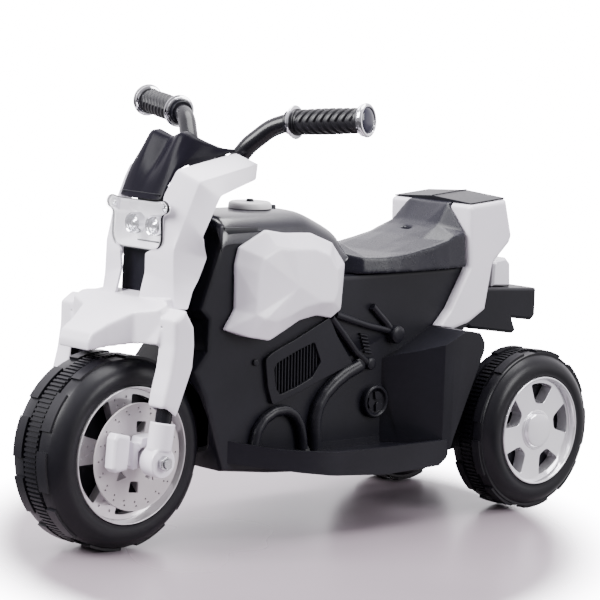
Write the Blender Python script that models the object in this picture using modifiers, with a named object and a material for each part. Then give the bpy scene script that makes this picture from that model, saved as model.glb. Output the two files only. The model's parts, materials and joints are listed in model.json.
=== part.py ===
"""Kids ride-on motorcycle on three wheels, built as separate pieces in metres.

The rider's left is +X, the front faces -Y and +Z is up. The origin is on the floor under the
middle of the overall length. Side outlines are (y, z) points. Points near the front are placed
from the front axle with fore(), and points near the back from the rear axle with aft().
"""
import math

import bmesh
import bpy
from mathutils import Matrix, Vector

# Clearances and walls
GAP = 0.0003
WALL = 0.0028
RUNNING = 0.0004

# Wheels
WHEELBASE = 0.5815
FRONT_TYRE_R = 0.1125
FRONT_TYRE_HALF = 0.0455
FRONT_TREAD_HALF = 0.030
FRONT_RIM_R = 0.0795
REAR_TYRE_R = 0.1005
REAR_TYRE_HALF = 0.035
REAR_TREAD_HALF = 0.0235
REAR_RIM_R = 0.068
REAR_WHEEL_X = 0.1107
LUG_H = 0.003
TYRE_WALL = 0.0045
AXLE_R = 0.005
HUB_R = 0.016
HUB_END_R = 0.012
WHEEL_STEPS = 28
DISC_R = 0.062
DISC_T = 0.0025

# Steering geometry
STEER_RAKE = math.radians(23.0)
STEER_OFFSET = 0.012
LEG_RAKE = math.radians(9.0)
LEG_X = 0.089
COLUMN_R = 0.0095
HEAD_TUBE_R = 0.016
NOSE_R = 0.034
YOKE_LOW = 0.137
YOKE_T = 0.012
HEAD_TUBE_LOW = YOKE_LOW + YOKE_T + RUNNING
NOSE_LOW = 0.163
NOSE_TOP = 0.282
HEAD_TUBE_TOP = NOSE_TOP + 0.0015
BAR_HEIGHT = 0.351
STANCHION_R = 0.0095
SLIDER_HALF = 0.011
SLIDER_R = 0.0145
BOSS_R = 0.0175

# Handlebar
BAR_R = 0.010
GRIP_IN_X = 0.0985
GRIP_OUT_X = 0.1915
GRIP_R = 0.0148
RING_R = 0.0189
RING_T = 0.005

# Body
CORE_HALF = 0.058
BODY_BASE = 0.065
SHELF_Z = 0.092
FOOT_X = 0.121
SEAT_PLANE = 0.302
TANK_TOP = 0.382
CORE_TOP = 0.370
TANK_HALF = 0.050
SEAM = GAP / 2
ARCH_ROOM = 0.0125

# Drive
DRIVE_SLEEVE_R = 0.0115
GEARBOX_OUT = 0.050
GEARBOX_IN = 0.018

# Small parts
CAP_R = 0.026
CAP_T = 0.0082
BUTTON_TRAVEL = 0.002
SOCKET_R = 0.008
LAMP_HALF = 0.034
BRACKET_HALF = 0.045
BRACKET_TOP = 0.266

FRONT_Y = -(WHEELBASE + REAR_TYRE_R - FRONT_TYRE_R) / 2
REAR_Y = FRONT_Y + WHEELBASE
FRONT_Z = FRONT_TYRE_R
REAR_Z = REAR_TYRE_R

STEER_UP = Vector((0.0, math.sin(STEER_RAKE), math.cos(STEER_RAKE)))
STEER_BACK = Vector((0.0, math.cos(STEER_RAKE), -math.sin(STEER_RAKE)))
STEER_BASE = Vector((0.0, FRONT_Y + STEER_OFFSET, FRONT_Z))
LEG_UP = Vector((0.0, math.sin(LEG_RAKE), math.cos(LEG_RAKE)))
SIDE = Vector((1.0, 0.0, 0.0))

PARTS = None
GUIDES = None
FINISHES = {}


def fore(dy, z):
    """A side point placed from the front axle."""
    return (FRONT_Y + dy, z)


def aft(dy, z):
    """A side point placed from the rear axle."""
    return (REAR_Y + dy, z)


def on_stem(s, back=0.0, side=0.0):
    """A point s up the steering axis, offset backwards and sideways from it."""
    return STEER_BASE + STEER_UP * s + STEER_BACK * back + SIDE * side


def on_leg(side, t):
    """A point t up the left (1) or right (-1) fork leg from the front axle."""
    return Vector((side * LEG_X, FRONT_Y, FRONT_Z)) + LEG_UP * t


def start_file():
    """Empties the scene and makes the two collections."""
    global PARTS, GUIDES
    for obj in list(bpy.data.objects):
        bpy.data.objects.remove(obj)
    PARTS = bpy.data.collections.new("ride_on_motorcycle")
    GUIDES = bpy.data.collections.new("cutters")
    for collection in (PARTS, GUIDES):
        bpy.context.scene.collection.children.link(collection)


def finish(name, color, roughness, metallic=0.0):
    """A Principled material, made once for each name."""
    if name not in FINISHES:
        made = bpy.data.materials.new(name)
        made.use_nodes = True
        shader = made.node_tree.nodes["Principled BSDF"]
        shader.inputs["Base Color"].default_value = (*color, 1.0)
        shader.inputs["Roughness"].default_value = roughness
        shader.inputs["Metallic"].default_value = metallic
        made.diffuse_color = (*color, 1.0)
        FINISHES[name] = made
    return FINISHES[name]


def white_plastic():
    return finish("white_plastic", (0.86, 0.85, 0.88), 0.25)


def black_plastic():
    return finish("black_plastic", (0.028, 0.027, 0.033), 0.38)


def tyre_plastic():
    return finish("tyre_plastic", (0.035, 0.034, 0.038), 0.5)


def chrome():
    return finish("chrome", (0.82, 0.82, 0.84), 0.08, 1.0)


def steel():
    return finish("steel", (0.55, 0.56, 0.58), 0.3, 1.0)


def black_steel():
    return finish("black_steel", (0.03, 0.03, 0.035), 0.3, 0.4)


def grip_rubber():
    return finish("grip_rubber", (0.05, 0.048, 0.052), 0.6)


def clear_plastic():
    return finish("clear_plastic", (0.9, 0.92, 0.94), 0.05)


def lamp_plastic():
    return finish("lamp_plastic", (0.80, 0.80, 0.84), 0.2)


def green_plastic():
    return finish("green_plastic", (0.02, 0.32, 0.16), 0.3)


def grey_plastic():
    return finish("grey_plastic", (0.62, 0.61, 0.62), 0.4)


def battery_case():
    return finish("battery_case", (0.12, 0.12, 0.14), 0.5)


def put(bm, name, look):
    """Turns a bmesh into an object of the motorcycle, or into a guide when look is None."""
    bmesh.ops.recalc_face_normals(bm, faces=bm.faces)
    mesh = bpy.data.meshes.new(name)
    bm.to_mesh(mesh)
    bm.free()
    obj = bpy.data.objects.new(name, mesh)
    if look is None:
        as_guide(obj)
    else:
        mesh.materials.append(look)
        PARTS.objects.link(obj)
    return obj


def as_guide(obj):
    """Hides a cutter, or a shape that is joined into another, as a wire guide."""
    for collection in list(obj.users_collection):
        collection.objects.unlink(obj)
    GUIDES.objects.link(obj)
    obj.hide_render = True
    obj.display_type = "WIRE"


def place(axis, point, depth):
    """A space point for an outline point of a prism along axis."""
    if axis == "X":
        return (depth, point[0], point[1])
    if axis == "Y":
        return (point[0], depth, point[1])
    return (point[0], point[1], depth)


def prism(outline, axis, low, high, name="guide", look=None, round_by=0.0, round_side="both", steps=2):
    """An outline pulled straight along an axis, with its chosen end edges rounded."""
    bm = bmesh.new()
    ring = [bm.verts.new(place(axis, point, low)) for point in outline]
    base = bm.faces.new(ring)
    pulled = bmesh.ops.extrude_face_region(bm, geom=[base])
    moved = [item for item in pulled["geom"] if isinstance(item, bmesh.types.BMVert)]
    shift = Vector(place(axis, (0.0, 0.0), high - low))
    bmesh.ops.translate(bm, verts=moved, vec=shift)
    if round_by:
        index = "XYZ".index(axis)
        wanted = {"both": (low, high), "high": (high,), "low": (low,)}[round_side]
        edges = [
            edge
            for edge in bm.edges
            if any(all(abs(v.co[index] - depth) < 1e-6 for v in edge.verts) for depth in wanted)
        ]
        bmesh.ops.bevel(
            bm, geom=edges, offset=round_by, segments=steps, profile=0.5, affect="EDGES", material=-1
        )
    return put(bm, name, look)


def inset(outline, distance):
    """The outline moved inwards by a wall thickness."""
    count = len(outline)
    area = sum(
        outline[i][0] * outline[(i + 1) % count][1] - outline[(i + 1) % count][0] * outline[i][1]
        for i in range(count)
    )
    turn = 1.0 if area > 0 else -1.0
    result = []
    for i in range(count):
        before = Vector(outline[i - 1])
        here = Vector(outline[i])
        after = Vector(outline[(i + 1) % count])
        first = (here - before).normalized()
        second = (after - here).normalized()
        first_in = Vector((-first.y, first.x)) * turn
        second_in = Vector((-second.y, second.x)) * turn
        mitre = (first_in + second_in).normalized()
        result.append(tuple(here + mitre * (distance / max(0.35, mitre.dot(first_in)))))
    return result


def rod(start, end, radius, name="guide", look=None, sides=16, end_radius=None):
    """A round bar or cone between two points."""
    start = Vector(start)
    end = Vector(end)
    bm = bmesh.new()
    bmesh.ops.create_cone(
        bm,
        cap_ends=True,
        segments=sides,
        radius1=radius,
        radius2=radius if end_radius is None else end_radius,
        depth=(end - start).length,
    )
    turn = (end - start).to_track_quat("Z", "Y").to_matrix().to_4x4()
    bmesh.ops.transform(bm, matrix=Matrix.Translation((start + end) / 2) @ turn, verts=bm.verts)
    return put(bm, name, look)


def box(low, high, name="guide", look=None, round_by=0.0):
    """A box between two corners."""
    low = Vector(low)
    high = Vector(high)
    bm = bmesh.new()
    bmesh.ops.create_cube(bm, size=1.0)
    size = high - low
    bmesh.ops.transform(
        bm, matrix=Matrix.Translation((low + high) / 2) @ Matrix.Diagonal((*size, 1.0)), verts=bm.verts
    )
    if round_by:
        bmesh.ops.bevel(
            bm, geom=bm.edges[:], offset=round_by, segments=1, profile=0.5, affect="EDGES", material=-1
        )
    return put(bm, name, look)


def turned(profile, centre, axis, name, look, closed=True, steps=WHEEL_STEPS):
    """A profile of (radius, height) points turned about an axis with a Screw modifier."""
    count = len(profile)
    area = sum(
        profile[i][0] * profile[(i + 1) % count][1] - profile[(i + 1) % count][0] * profile[i][1]
        for i in range(count)
    )
    points = profile if area < 0 else profile[::-1]
    mesh = bpy.data.meshes.new(name)
    edges = [(i, i + 1) for i in range(count - 1)]
    if closed:
        edges.append((count - 1, 0))
    mesh.from_pydata([(radius, 0.0, height) for radius, height in points], edges, [])
    mesh.materials.append(look)
    obj = bpy.data.objects.new(name, mesh)
    PARTS.objects.link(obj)
    obj.location = centre
    obj.rotation_mode = "QUATERNION"
    obj.rotation_quaternion = Vector(axis).to_track_quat("Z", "Y")
    screw = obj.modifiers.new("turn", "SCREW")
    screw.steps = steps
    screw.render_steps = steps
    screw.use_merge_vertices = True
    screw.merge_threshold = 1e-5
    screw.use_smooth_shade = True
    return obj


def boolean(obj, operation, other):
    """Adds one Boolean step to obj, whose other shape becomes a hidden guide."""
    as_guide(other)
    step = obj.modifiers.new(operation.lower(), "BOOLEAN")
    step.operation = operation
    step.solver = "EXACT"
    step.object = other
    return obj


def cut(obj, *others):
    for other in others:
        boolean(obj, "DIFFERENCE", other)
    return obj


def join(obj, *others):
    for other in others:
        boolean(obj, "UNION", other)
    return obj


def evaluated_mesh(obj, name):
    """A plain mesh of an object as its modifiers leave it, in world space."""
    bpy.context.view_layer.update()
    graph = bpy.context.evaluated_depsgraph_get()
    mesh = bpy.data.meshes.new_from_object(obj.evaluated_get(graph))
    mesh.name = name
    mesh.transform(obj.matrix_world)
    return mesh


def mirrored(obj, name, look):
    """The right-hand twin of a left-hand piece, as a piece of its own."""
    mesh = evaluated_mesh(obj, name)
    bm = bmesh.new()
    bm.from_mesh(mesh)
    bmesh.ops.triangulate(bm, faces=bm.faces)
    bmesh.ops.scale(bm, vec=(-1.0, 1.0, 1.0), verts=bm.verts)
    bmesh.ops.reverse_faces(bm, faces=bm.faces)
    bm.to_mesh(mesh)
    bm.free()
    mesh.materials.clear()
    mesh.materials.append(look)
    twin = bpy.data.objects.new(name, mesh)
    PARTS.objects.link(twin)
    return twin


def tube(points, radius, name, look=None, smooth=True):
    """A bent round bar along points, made a mesh with its caps welded."""
    data = bpy.data.curves.new(name, "CURVE")
    data.dimensions = "3D"
    data.bevel_depth = radius
    data.bevel_resolution = 1 if smooth else 2
    data.use_fill_caps = True
    data.resolution_u = 3
    spline = data.splines.new("NURBS" if smooth else "POLY")
    spline.points.add(len(points) - 1)
    for knot, point in zip(spline.points, points):
        knot.co = (*point, 1.0)
    if smooth:
        spline.use_endpoint_u = True
        spline.order_u = 4
    curve = bpy.data.objects.new(name, data)
    PARTS.objects.link(curve)
    mesh = evaluated_mesh(curve, name)
    bpy.data.objects.remove(curve)
    bm = bmesh.new()
    bm.from_mesh(mesh)
    bpy.data.meshes.remove(mesh)
    bmesh.ops.remove_doubles(bm, verts=bm.verts, dist=1e-5)
    return put(bm, name, look)


def sheet(lines, thickness, name, look, outward):
    """A panel through equal lines of points, thickened away from its outward side."""
    bm = bmesh.new()
    rows = [[bm.verts.new(point) for point in line] for line in lines]
    for upper, lower in zip(rows, rows[1:]):
        for i in range(len(upper) - 1):
            bm.faces.new((upper[i], upper[i + 1], lower[i + 1], lower[i]))
    bmesh.ops.triangulate(bm, faces=bm.faces)
    bmesh.ops.recalc_face_normals(bm, faces=bm.faces)
    bm.faces.ensure_lookup_table()
    lean = sum((face.normal * face.calc_area() for face in bm.faces), Vector()).dot(Vector(outward))
    if lean < 0:
        bmesh.ops.reverse_faces(bm, faces=bm.faces)
    mesh = bpy.data.meshes.new(name)
    bm.to_mesh(mesh)
    bm.free()
    mesh.materials.append(look)
    obj = bpy.data.objects.new(name, mesh)
    PARTS.objects.link(obj)
    wall = obj.modifiers.new("wall", "SOLIDIFY")
    wall.thickness = thickness
    wall.offset = -1.0
    wall.use_even_offset = True
    return obj


def lofted(rings, name="guide", look=None):
    """A closed body through rings of equal point counts, with flat ends."""
    bm = bmesh.new()
    loops = [[bm.verts.new(point) for point in ring] for ring in rings]
    count = len(loops[0])
    for first, second in zip(loops, loops[1:]):
        for i in range(count):
            j = (i + 1) % count
            bm.faces.new((first[i], first[j], second[j], second[i]))
    bm.faces.new(loops[0])
    bm.faces.new(loops[-1])
    bmesh.ops.triangulate(bm, faces=bm.faces)
    return put(bm, name, look)


# Wheels

def tyre(name, centre_x, centre_y, radius, half, tread_half, rim_r, steps):
    """A hollow moulded tyre, open at the rim, with staggered shoulder lugs."""
    tread_r = radius - LUG_H
    lip = rim_r + GAP
    middle = tread_half * 0.36
    outer = [
        (lip, half - 0.0008),
        (lip + (tread_r - lip) * 0.38, half),
        (lip + (tread_r - lip) * 0.72, half - 0.005),
        (tread_r, tread_half),
        (tread_r, middle),
    ]
    inner = [
        (tread_r - TYRE_WALL, tread_half - 0.003),
        (lip + (tread_r - lip) * 0.40, half - TYRE_WALL),
        (lip, half - TYRE_WALL),
    ]
    section = outer + [(r, -x) for r, x in outer[::-1]]
    section += [(r, -x) for r, x in inner[::-1]] + inner
    bm = bmesh.new()
    ring = [bm.verts.new((x, 0.0, r)) for r, x in section]
    loop = [bm.edges.new((ring[i], ring[(i + 1) % len(ring)])) for i in range(len(ring))]
    bmesh.ops.spin(
        bm, geom=ring + loop, axis=(1.0, 0.0, 0.0), cent=(0.0, 0.0, 0.0), angle=math.tau, steps=steps, use_merge=True
    )
    bmesh.ops.recalc_face_normals(bm, faces=bm.faces)
    lugs = []
    for face in bm.faces:
        mid = face.calc_center_median()
        if abs(mid.yz.length - tread_r) > 0.0008:
            continue
        turn = int(round(math.atan2(mid.y, mid.z) / math.tau * steps - 0.5)) % steps
        shoulder_left = mid.x > middle and turn % 4 in (0, 1, 2)
        shoulder_right = mid.x < -middle and turn % 4 in (2, 3, 0)
        if shoulder_left or shoulder_right:
            lugs.append(face)
    raised = bmesh.ops.extrude_face_region(bm, geom=lugs)
    for item in raised["geom"]:
        if isinstance(item, bmesh.types.BMVert):
            away = item.co.yz.normalized() * LUG_H
            item.co += Vector((0.0, away.x, away.y))
    bmesh.ops.delete(bm, geom=lugs, context="FACES")
    bmesh.ops.translate(bm, verts=bm.verts, vec=(centre_x, centre_y, radius))
    return put(bm, name, tyre_plastic())


def spoke_windows(side, x_low, x_high, centre_y, centre_z, r_in, r_out, count=5):
    """Five rounded wedge cutters that leave the spokes of a rim."""
    bm = bmesh.new()
    for k in range(count):
        mid = math.tau * k / count
        wide = math.pi / count * 0.62
        narrow = math.pi / count * 0.36
        corners = [
            (r_in, mid - narrow),
            (r_out * 0.96, mid - wide),
            (r_out, mid),
            (r_out * 0.96, mid + wide),
            (r_in, mid + narrow),
        ]
        ring = [
            bm.verts.new((side * x_low, centre_y + r * math.sin(a), centre_z + r * math.cos(a)))
            for r, a in corners
        ]
        face = bm.faces.new(ring)
        pulled = bmesh.ops.extrude_face_region(bm, geom=[face])
        moved = [item for item in pulled["geom"] if isinstance(item, bmesh.types.BMVert)]
        bmesh.ops.translate(bm, verts=moved, vec=(side * (x_high - x_low), 0.0, 0.0))
    return put(bm, "guide", None)


def drilled(x_low, x_high, ring_r, hole_r, count, turn):
    """A ring of round hole cutters about the front axle."""
    bm = bmesh.new()
    upright = Matrix.Rotation(math.pi / 2, 4, "Y")
    for k in range(count):
        angle = math.tau * k / count + turn
        spot = Vector(((x_low + x_high) / 2, FRONT_Y + ring_r * math.sin(angle), FRONT_Z + ring_r * math.cos(angle)))
        bmesh.ops.create_cone(
            bm,
            cap_ends=True,
            segments=8,
            radius1=hole_r,
            radius2=hole_r,
            depth=abs(x_high - x_low),
            matrix=Matrix.Translation(spot) @ upright,
        )
    return put(bm, "guide", None)


def front_wheel():
    """Tyre, two rim halves and two brake discs on the front axle."""
    centre = (0.0, FRONT_Y, FRONT_Z)
    hub_face = LEG_X - SLIDER_HALF - GAP
    disc_x = FRONT_TYRE_HALF + 0.0065
    web = 0.030
    bore = AXLE_R + RUNNING
    tyre("front_tyre", 0.0, FRONT_Y, FRONT_TYRE_R, FRONT_TYRE_HALF, FRONT_TREAD_HALF, FRONT_RIM_R, WHEEL_STEPS)
    for side, word in ((1, "left"), (-1, "right")):
        profile = [
            (FRONT_RIM_R, FRONT_TYRE_HALF + 0.0012),
            (FRONT_RIM_R, SEAM),
            (FRONT_RIM_R - 0.003, SEAM),
            (FRONT_RIM_R - 0.003, web),
            (HUB_R, web),
            (HUB_R, SEAM),
            (bore, SEAM),
            (bore, hub_face),
            (HUB_END_R, hub_face),
            (HUB_END_R, disc_x - GAP),
            (HUB_R, disc_x - GAP),
            (HUB_R, web + 0.004),
            (FRONT_RIM_R - 0.006, web + 0.004),
            (FRONT_RIM_R - 0.0035, FRONT_TYRE_HALF + 0.0012),
        ]
        rim = turned(profile, centre, SIDE * side, f"front_rim_{word}", white_plastic())
        cut(rim, spoke_windows(side, web - 0.004, web + 0.008, FRONT_Y, FRONT_Z, HUB_R + 0.012, FRONT_RIM_R - 0.011))
        disc = turned(
            [
                (DISC_R, disc_x + DISC_T),
                (DISC_R, disc_x),
                (HUB_END_R + GAP, disc_x),
                (HUB_END_R + GAP, disc_x + DISC_T),
            ],
            centre,
            SIDE * side,
            f"front_disc_{word}",
            white_plastic(),
        )
        cut(disc, drilled(side * (disc_x - 0.002), side * (disc_x + 0.006), 0.026, 0.007, 5, 0.08))
        cut(disc, drilled(side * (disc_x - 0.002), side * (disc_x + 0.006), 0.047, 0.0022, 10, 0.11))
    reach = LEG_X + SLIDER_HALF
    rod((-reach - 0.0085, FRONT_Y, FRONT_Z), (reach + 0.0085, FRONT_Y, FRONT_Z), AXLE_R, "front_axle", steel())
    for side, word in ((1, "left"), (-1, "right")):
        nut = rod(
            (side * (reach + GAP), FRONT_Y, FRONT_Z),
            (side * (reach + 0.0063), FRONT_Y, FRONT_Z),
            0.009,
            f"front_axle_nut_{word}",
            steel(),
            sides=6,
        )
        cut(nut, axle_hole(FRONT_Y, FRONT_Z))


def axle_hole(y, z, radius=AXLE_R + GAP):
    return rod((-0.3, y, z), (0.3, y, z), radius)


def rear_wheels():
    """Two free wheels on one fixed axle, the right one driven by the gearbox."""
    bore = AXLE_R + RUNNING
    web = 0.018
    inner = -REAR_TYRE_HALF + 0.0005
    cap_x = web + 0.0066
    for side, word in ((1, "left"), (-1, "right")):
        centre = (side * REAR_WHEEL_X, REAR_Y, REAR_Z)
        tyre(
            f"rear_tyre_{word}", side * REAR_WHEEL_X, REAR_Y, REAR_TYRE_R, REAR_TYRE_HALF, REAR_TREAD_HALF,
            REAR_RIM_R, WHEEL_STEPS,
        )
        profile = [
            (REAR_RIM_R, REAR_TYRE_HALF + 0.001),
            (REAR_RIM_R, inner),
            (REAR_RIM_R - 0.003, inner),
            (REAR_RIM_R - 0.003, web),
            (HUB_R, web),
            (HUB_R, inner),
            (bore, inner),
            (bore, cap_x - GAP),
            (0.021, cap_x - GAP),
            (REAR_RIM_R - 0.007, web + 0.004),
            (REAR_RIM_R - 0.0035, REAR_TYRE_HALF + 0.001),
        ]
        rim = turned(profile, centre, SIDE * side, f"rear_rim_{word}", chrome())
        low = REAR_WHEEL_X + web - 0.004
        cut(rim, spoke_windows(side, low, low + 0.016, REAR_Y, REAR_Z, 0.026, REAR_RIM_R - 0.009))
        turned(
            [
                (0.0, cap_x + 0.0092),
                (0.018, cap_x + 0.0088),
                (0.0205, cap_x + 0.007),
                (0.0205, cap_x),
                (0.0115, cap_x),
                (0.0115, cap_x + 0.0062),
                (0.0, cap_x + 0.0062),
            ],
            centre,
            SIDE * side,
            f"hub_cap_{word}",
            chrome(),
            closed=False,
            steps=24,
        )
        nut = rod(
            (side * (REAR_WHEEL_X + cap_x), REAR_Y, REAR_Z),
            (side * (REAR_WHEEL_X + cap_x + 0.0048), REAR_Y, REAR_Z),
            0.009,
            f"rear_axle_nut_{word}",
            steel(),
            sides=6,
        )
        cut(nut, axle_hole(REAR_Y, REAR_Z))
    reach = REAR_WHEEL_X + cap_x + 0.0052
    rod((-reach, REAR_Y, REAR_Z), (reach, REAR_Y, REAR_Z), AXLE_R, "rear_axle", steel())
    flange_x = REAR_WHEEL_X - REAR_TYRE_HALF + 0.0005 - 2 * GAP
    turned(
        [
            (0.026, flange_x),
            (0.026, flange_x - 0.005),
            (DRIVE_SLEEVE_R, flange_x - 0.007),
            (DRIVE_SLEEVE_R, GEARBOX_OUT + GAP),
            (bore, GEARBOX_OUT + GAP),
            (bore, flange_x),
        ],
        (0.0, REAR_Y, REAR_Z),
        -SIDE,
        "drive_coupling",
        grey_plastic(),
        steps=24,
    )


# Body shells

CORE_OUTLINE = [
    fore(0.127, 0.082),
    fore(0.117, 0.108),
    fore(0.095, 0.172),
    fore(0.078, 0.203),
    fore(0.098, 0.226),
    fore(0.098, 0.262),
    fore(0.086, 0.274),
    fore(0.110, 0.335),
    fore(0.120, CORE_TOP),
    fore(0.235, CORE_TOP - 0.004),
    fore(0.283, CORE_TOP - 0.021),
    fore(0.310, CORE_TOP - 0.040),
    fore(0.317, SEAT_PLANE),
    aft(-0.005, SEAT_PLANE),
    aft(-0.015, 0.262),
    aft(-0.035, 0.232),
    aft(-0.057, 0.215),
    aft(-0.062, 0.185),
    aft(-0.045, 0.175),
    aft(0.030, 0.165),
    aft(0.040, 0.130),
    aft(0.030, 0.082),
    aft(-0.010, 0.072),
    aft(-0.100, BODY_BASE),
    fore(0.290, BODY_BASE),
    fore(0.205, BODY_BASE + 0.007),
]

FOOT_PLAN = [
    (-0.002, FRONT_Y + 0.131),
    (CORE_HALF - 0.002, FRONT_Y + 0.131),
    (FOOT_X - 0.044, FRONT_Y + 0.158),
    (FOOT_X - 0.014, FRONT_Y + 0.208),
    (FOOT_X - 0.002, FRONT_Y + 0.255),
    (FOOT_X, FRONT_Y + 0.325),
    (FOOT_X - 0.001, REAR_Y - 0.143),
    (FOOT_X - 0.006, REAR_Y - 0.133),
    (-0.002, REAR_Y - 0.133),
]

FOOT_SIDE = [
    fore(0.120, 0.094),
    fore(0.185, 0.0835),
    fore(0.245, 0.0745),
    fore(0.335, BODY_BASE + 0.002),
    aft(-0.155, BODY_BASE + 0.003),
    aft(-0.136, 0.080),
    aft(-0.130, 0.0985),
    fore(0.255, 0.102),
    fore(0.185, 0.108),
    fore(0.115, 0.122),
]

GUARD_PLAN = [
    (-0.002, REAR_Y - 0.204),
    (CORE_HALF - 0.003, REAR_Y - 0.202),
    (0.075, REAR_Y - 0.180),
    (0.100, REAR_Y - 0.160),
    (FOOT_X - 0.004, REAR_Y - 0.148),
    (FOOT_X - 0.001, REAR_Y - 0.134),
    (FOOT_X - 0.001, REAR_Y - 0.070),
    (-0.002, REAR_Y - 0.070),
]

GUARD_SIDE = [
    aft(-0.212, 0.086),
    aft(-0.136, 0.086),
    aft(-0.131, 0.100),
    aft(-0.081, 0.205),
    aft(-0.081, 0.215),
    aft(-0.090, 0.2275),
    aft(-0.116, 0.231),
    aft(-0.167, 0.207),
    aft(-0.212, 0.192),
]

GUARD_PLAN_ROOM = [
    (CORE_HALF - 0.0004, REAR_Y - 0.1985),
    (0.0735, REAR_Y - 0.1775),
    (0.0985, REAR_Y - 0.1572),
    (FOOT_X - 0.0064, REAR_Y - 0.1462),
    (FOOT_X - 0.001 - WALL, REAR_Y - 0.1335),
    (FOOT_X - 0.001 - WALL, REAR_Y + 0.1),
    (CORE_HALF - 0.0004, REAR_Y + 0.1),
]

GUARD_SIDE_ROOM = [
    aft(-0.215, 0.070),
    aft(0.05, 0.070),
    aft(0.05, 0.2275 - WALL),
    aft(-0.091, 0.2275 - WALL),
    aft(-0.1155, 0.231 - WALL),
    aft(-0.1665, 0.207 - WALL),
    aft(-0.215, 0.192 - WALL),
]

RADIATOR = [
    fore(0.187, 0.212),
    fore(0.283, 0.250),
    fore(0.288, 0.199),
    fore(0.278, 0.181),
    fore(0.216, 0.163),
]

SOCKET_Y = FRONT_Y + 0.375
SOCKET_Z = 0.285
PEDAL_X = 0.090
PEDAL_HALF = 0.019
PEDAL_LENGTH = 0.060
PEDAL_PIN_R = 0.002
PEDAL_Y = FRONT_Y + 0.345
PEDAL_Z = SHELF_Z + 0.0055


def crossed(plan, plan_low, plan_high, side, side_low, side_high):
    """The body that a plan outline and a side outline have in common."""
    obj = prism(plan, "Z", plan_low, plan_high)
    other = prism(side, "X", side_low, side_high)
    return boolean(obj, "INTERSECT", other)


def engine_relief(body):
    """The moulded engine picture on the body's outer face: radiator, pipes, covers."""
    face = CORE_HALF - 0.0012
    frame = prism(RADIATOR, "X", face, CORE_HALF + 0.005, round_by=0.0015, round_side="high", steps=1)
    cut(frame, prism(inset(RADIATOR, 0.006), "X", CORE_HALF + 0.001, CORE_HALF + 0.02))
    join(body, frame)
    for k in range(4):
        y = FRONT_Y + 0.214 + k * 0.018
        low = 0.178 if k else 0.185
        join(body, box((face, y, low + 0.002), (CORE_HALF + 0.004, y + 0.006, 0.214 + k * 0.007)))
    pipe_x = CORE_HALF + 0.002
    arch = [fore(0.180, 0.104), fore(0.184, 0.128), fore(0.208, 0.148), fore(0.238, 0.147), fore(0.255, 0.122),
            fore(0.262, SHELF_Z - 0.0016)]
    tail = [fore(0.345, 0.194), fore(0.318, 0.180), fore(0.283, 0.157), fore(0.270, 0.128),
            fore(0.2675, SHELF_Z - 0.0014)]
    for route, radius in ((arch, 0.0055), (tail, 0.0062)):
        join(body, tube([(pipe_x, y, z) for y, z in route], radius, "guide"))
    for (y, z), radius, height in (
        (aft(-0.178, 0.226), 0.0125, 0.006),
        (aft(-0.205, 0.145), 0.021, 0.007),
        (fore(0.163, 0.210), 0.004, 0.003),
    ):
        join(body, rod((face, y, z), (CORE_HALF + height, y, z), radius, end_radius=radius * 0.86, sides=18))
    join(body, box((face, REAR_Y - 0.188, 0.1625), (CORE_HALF + 0.0045, REAR_Y - 0.176, 0.2145)))


def settle(obj):
    """Uses the manifold solver on a shell, whose many thin cuts the exact one doesn't hold."""
    for step in obj.modifiers:
        if step.type == "BOOLEAN":
            step.solver = "MANIFOLD"


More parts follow.
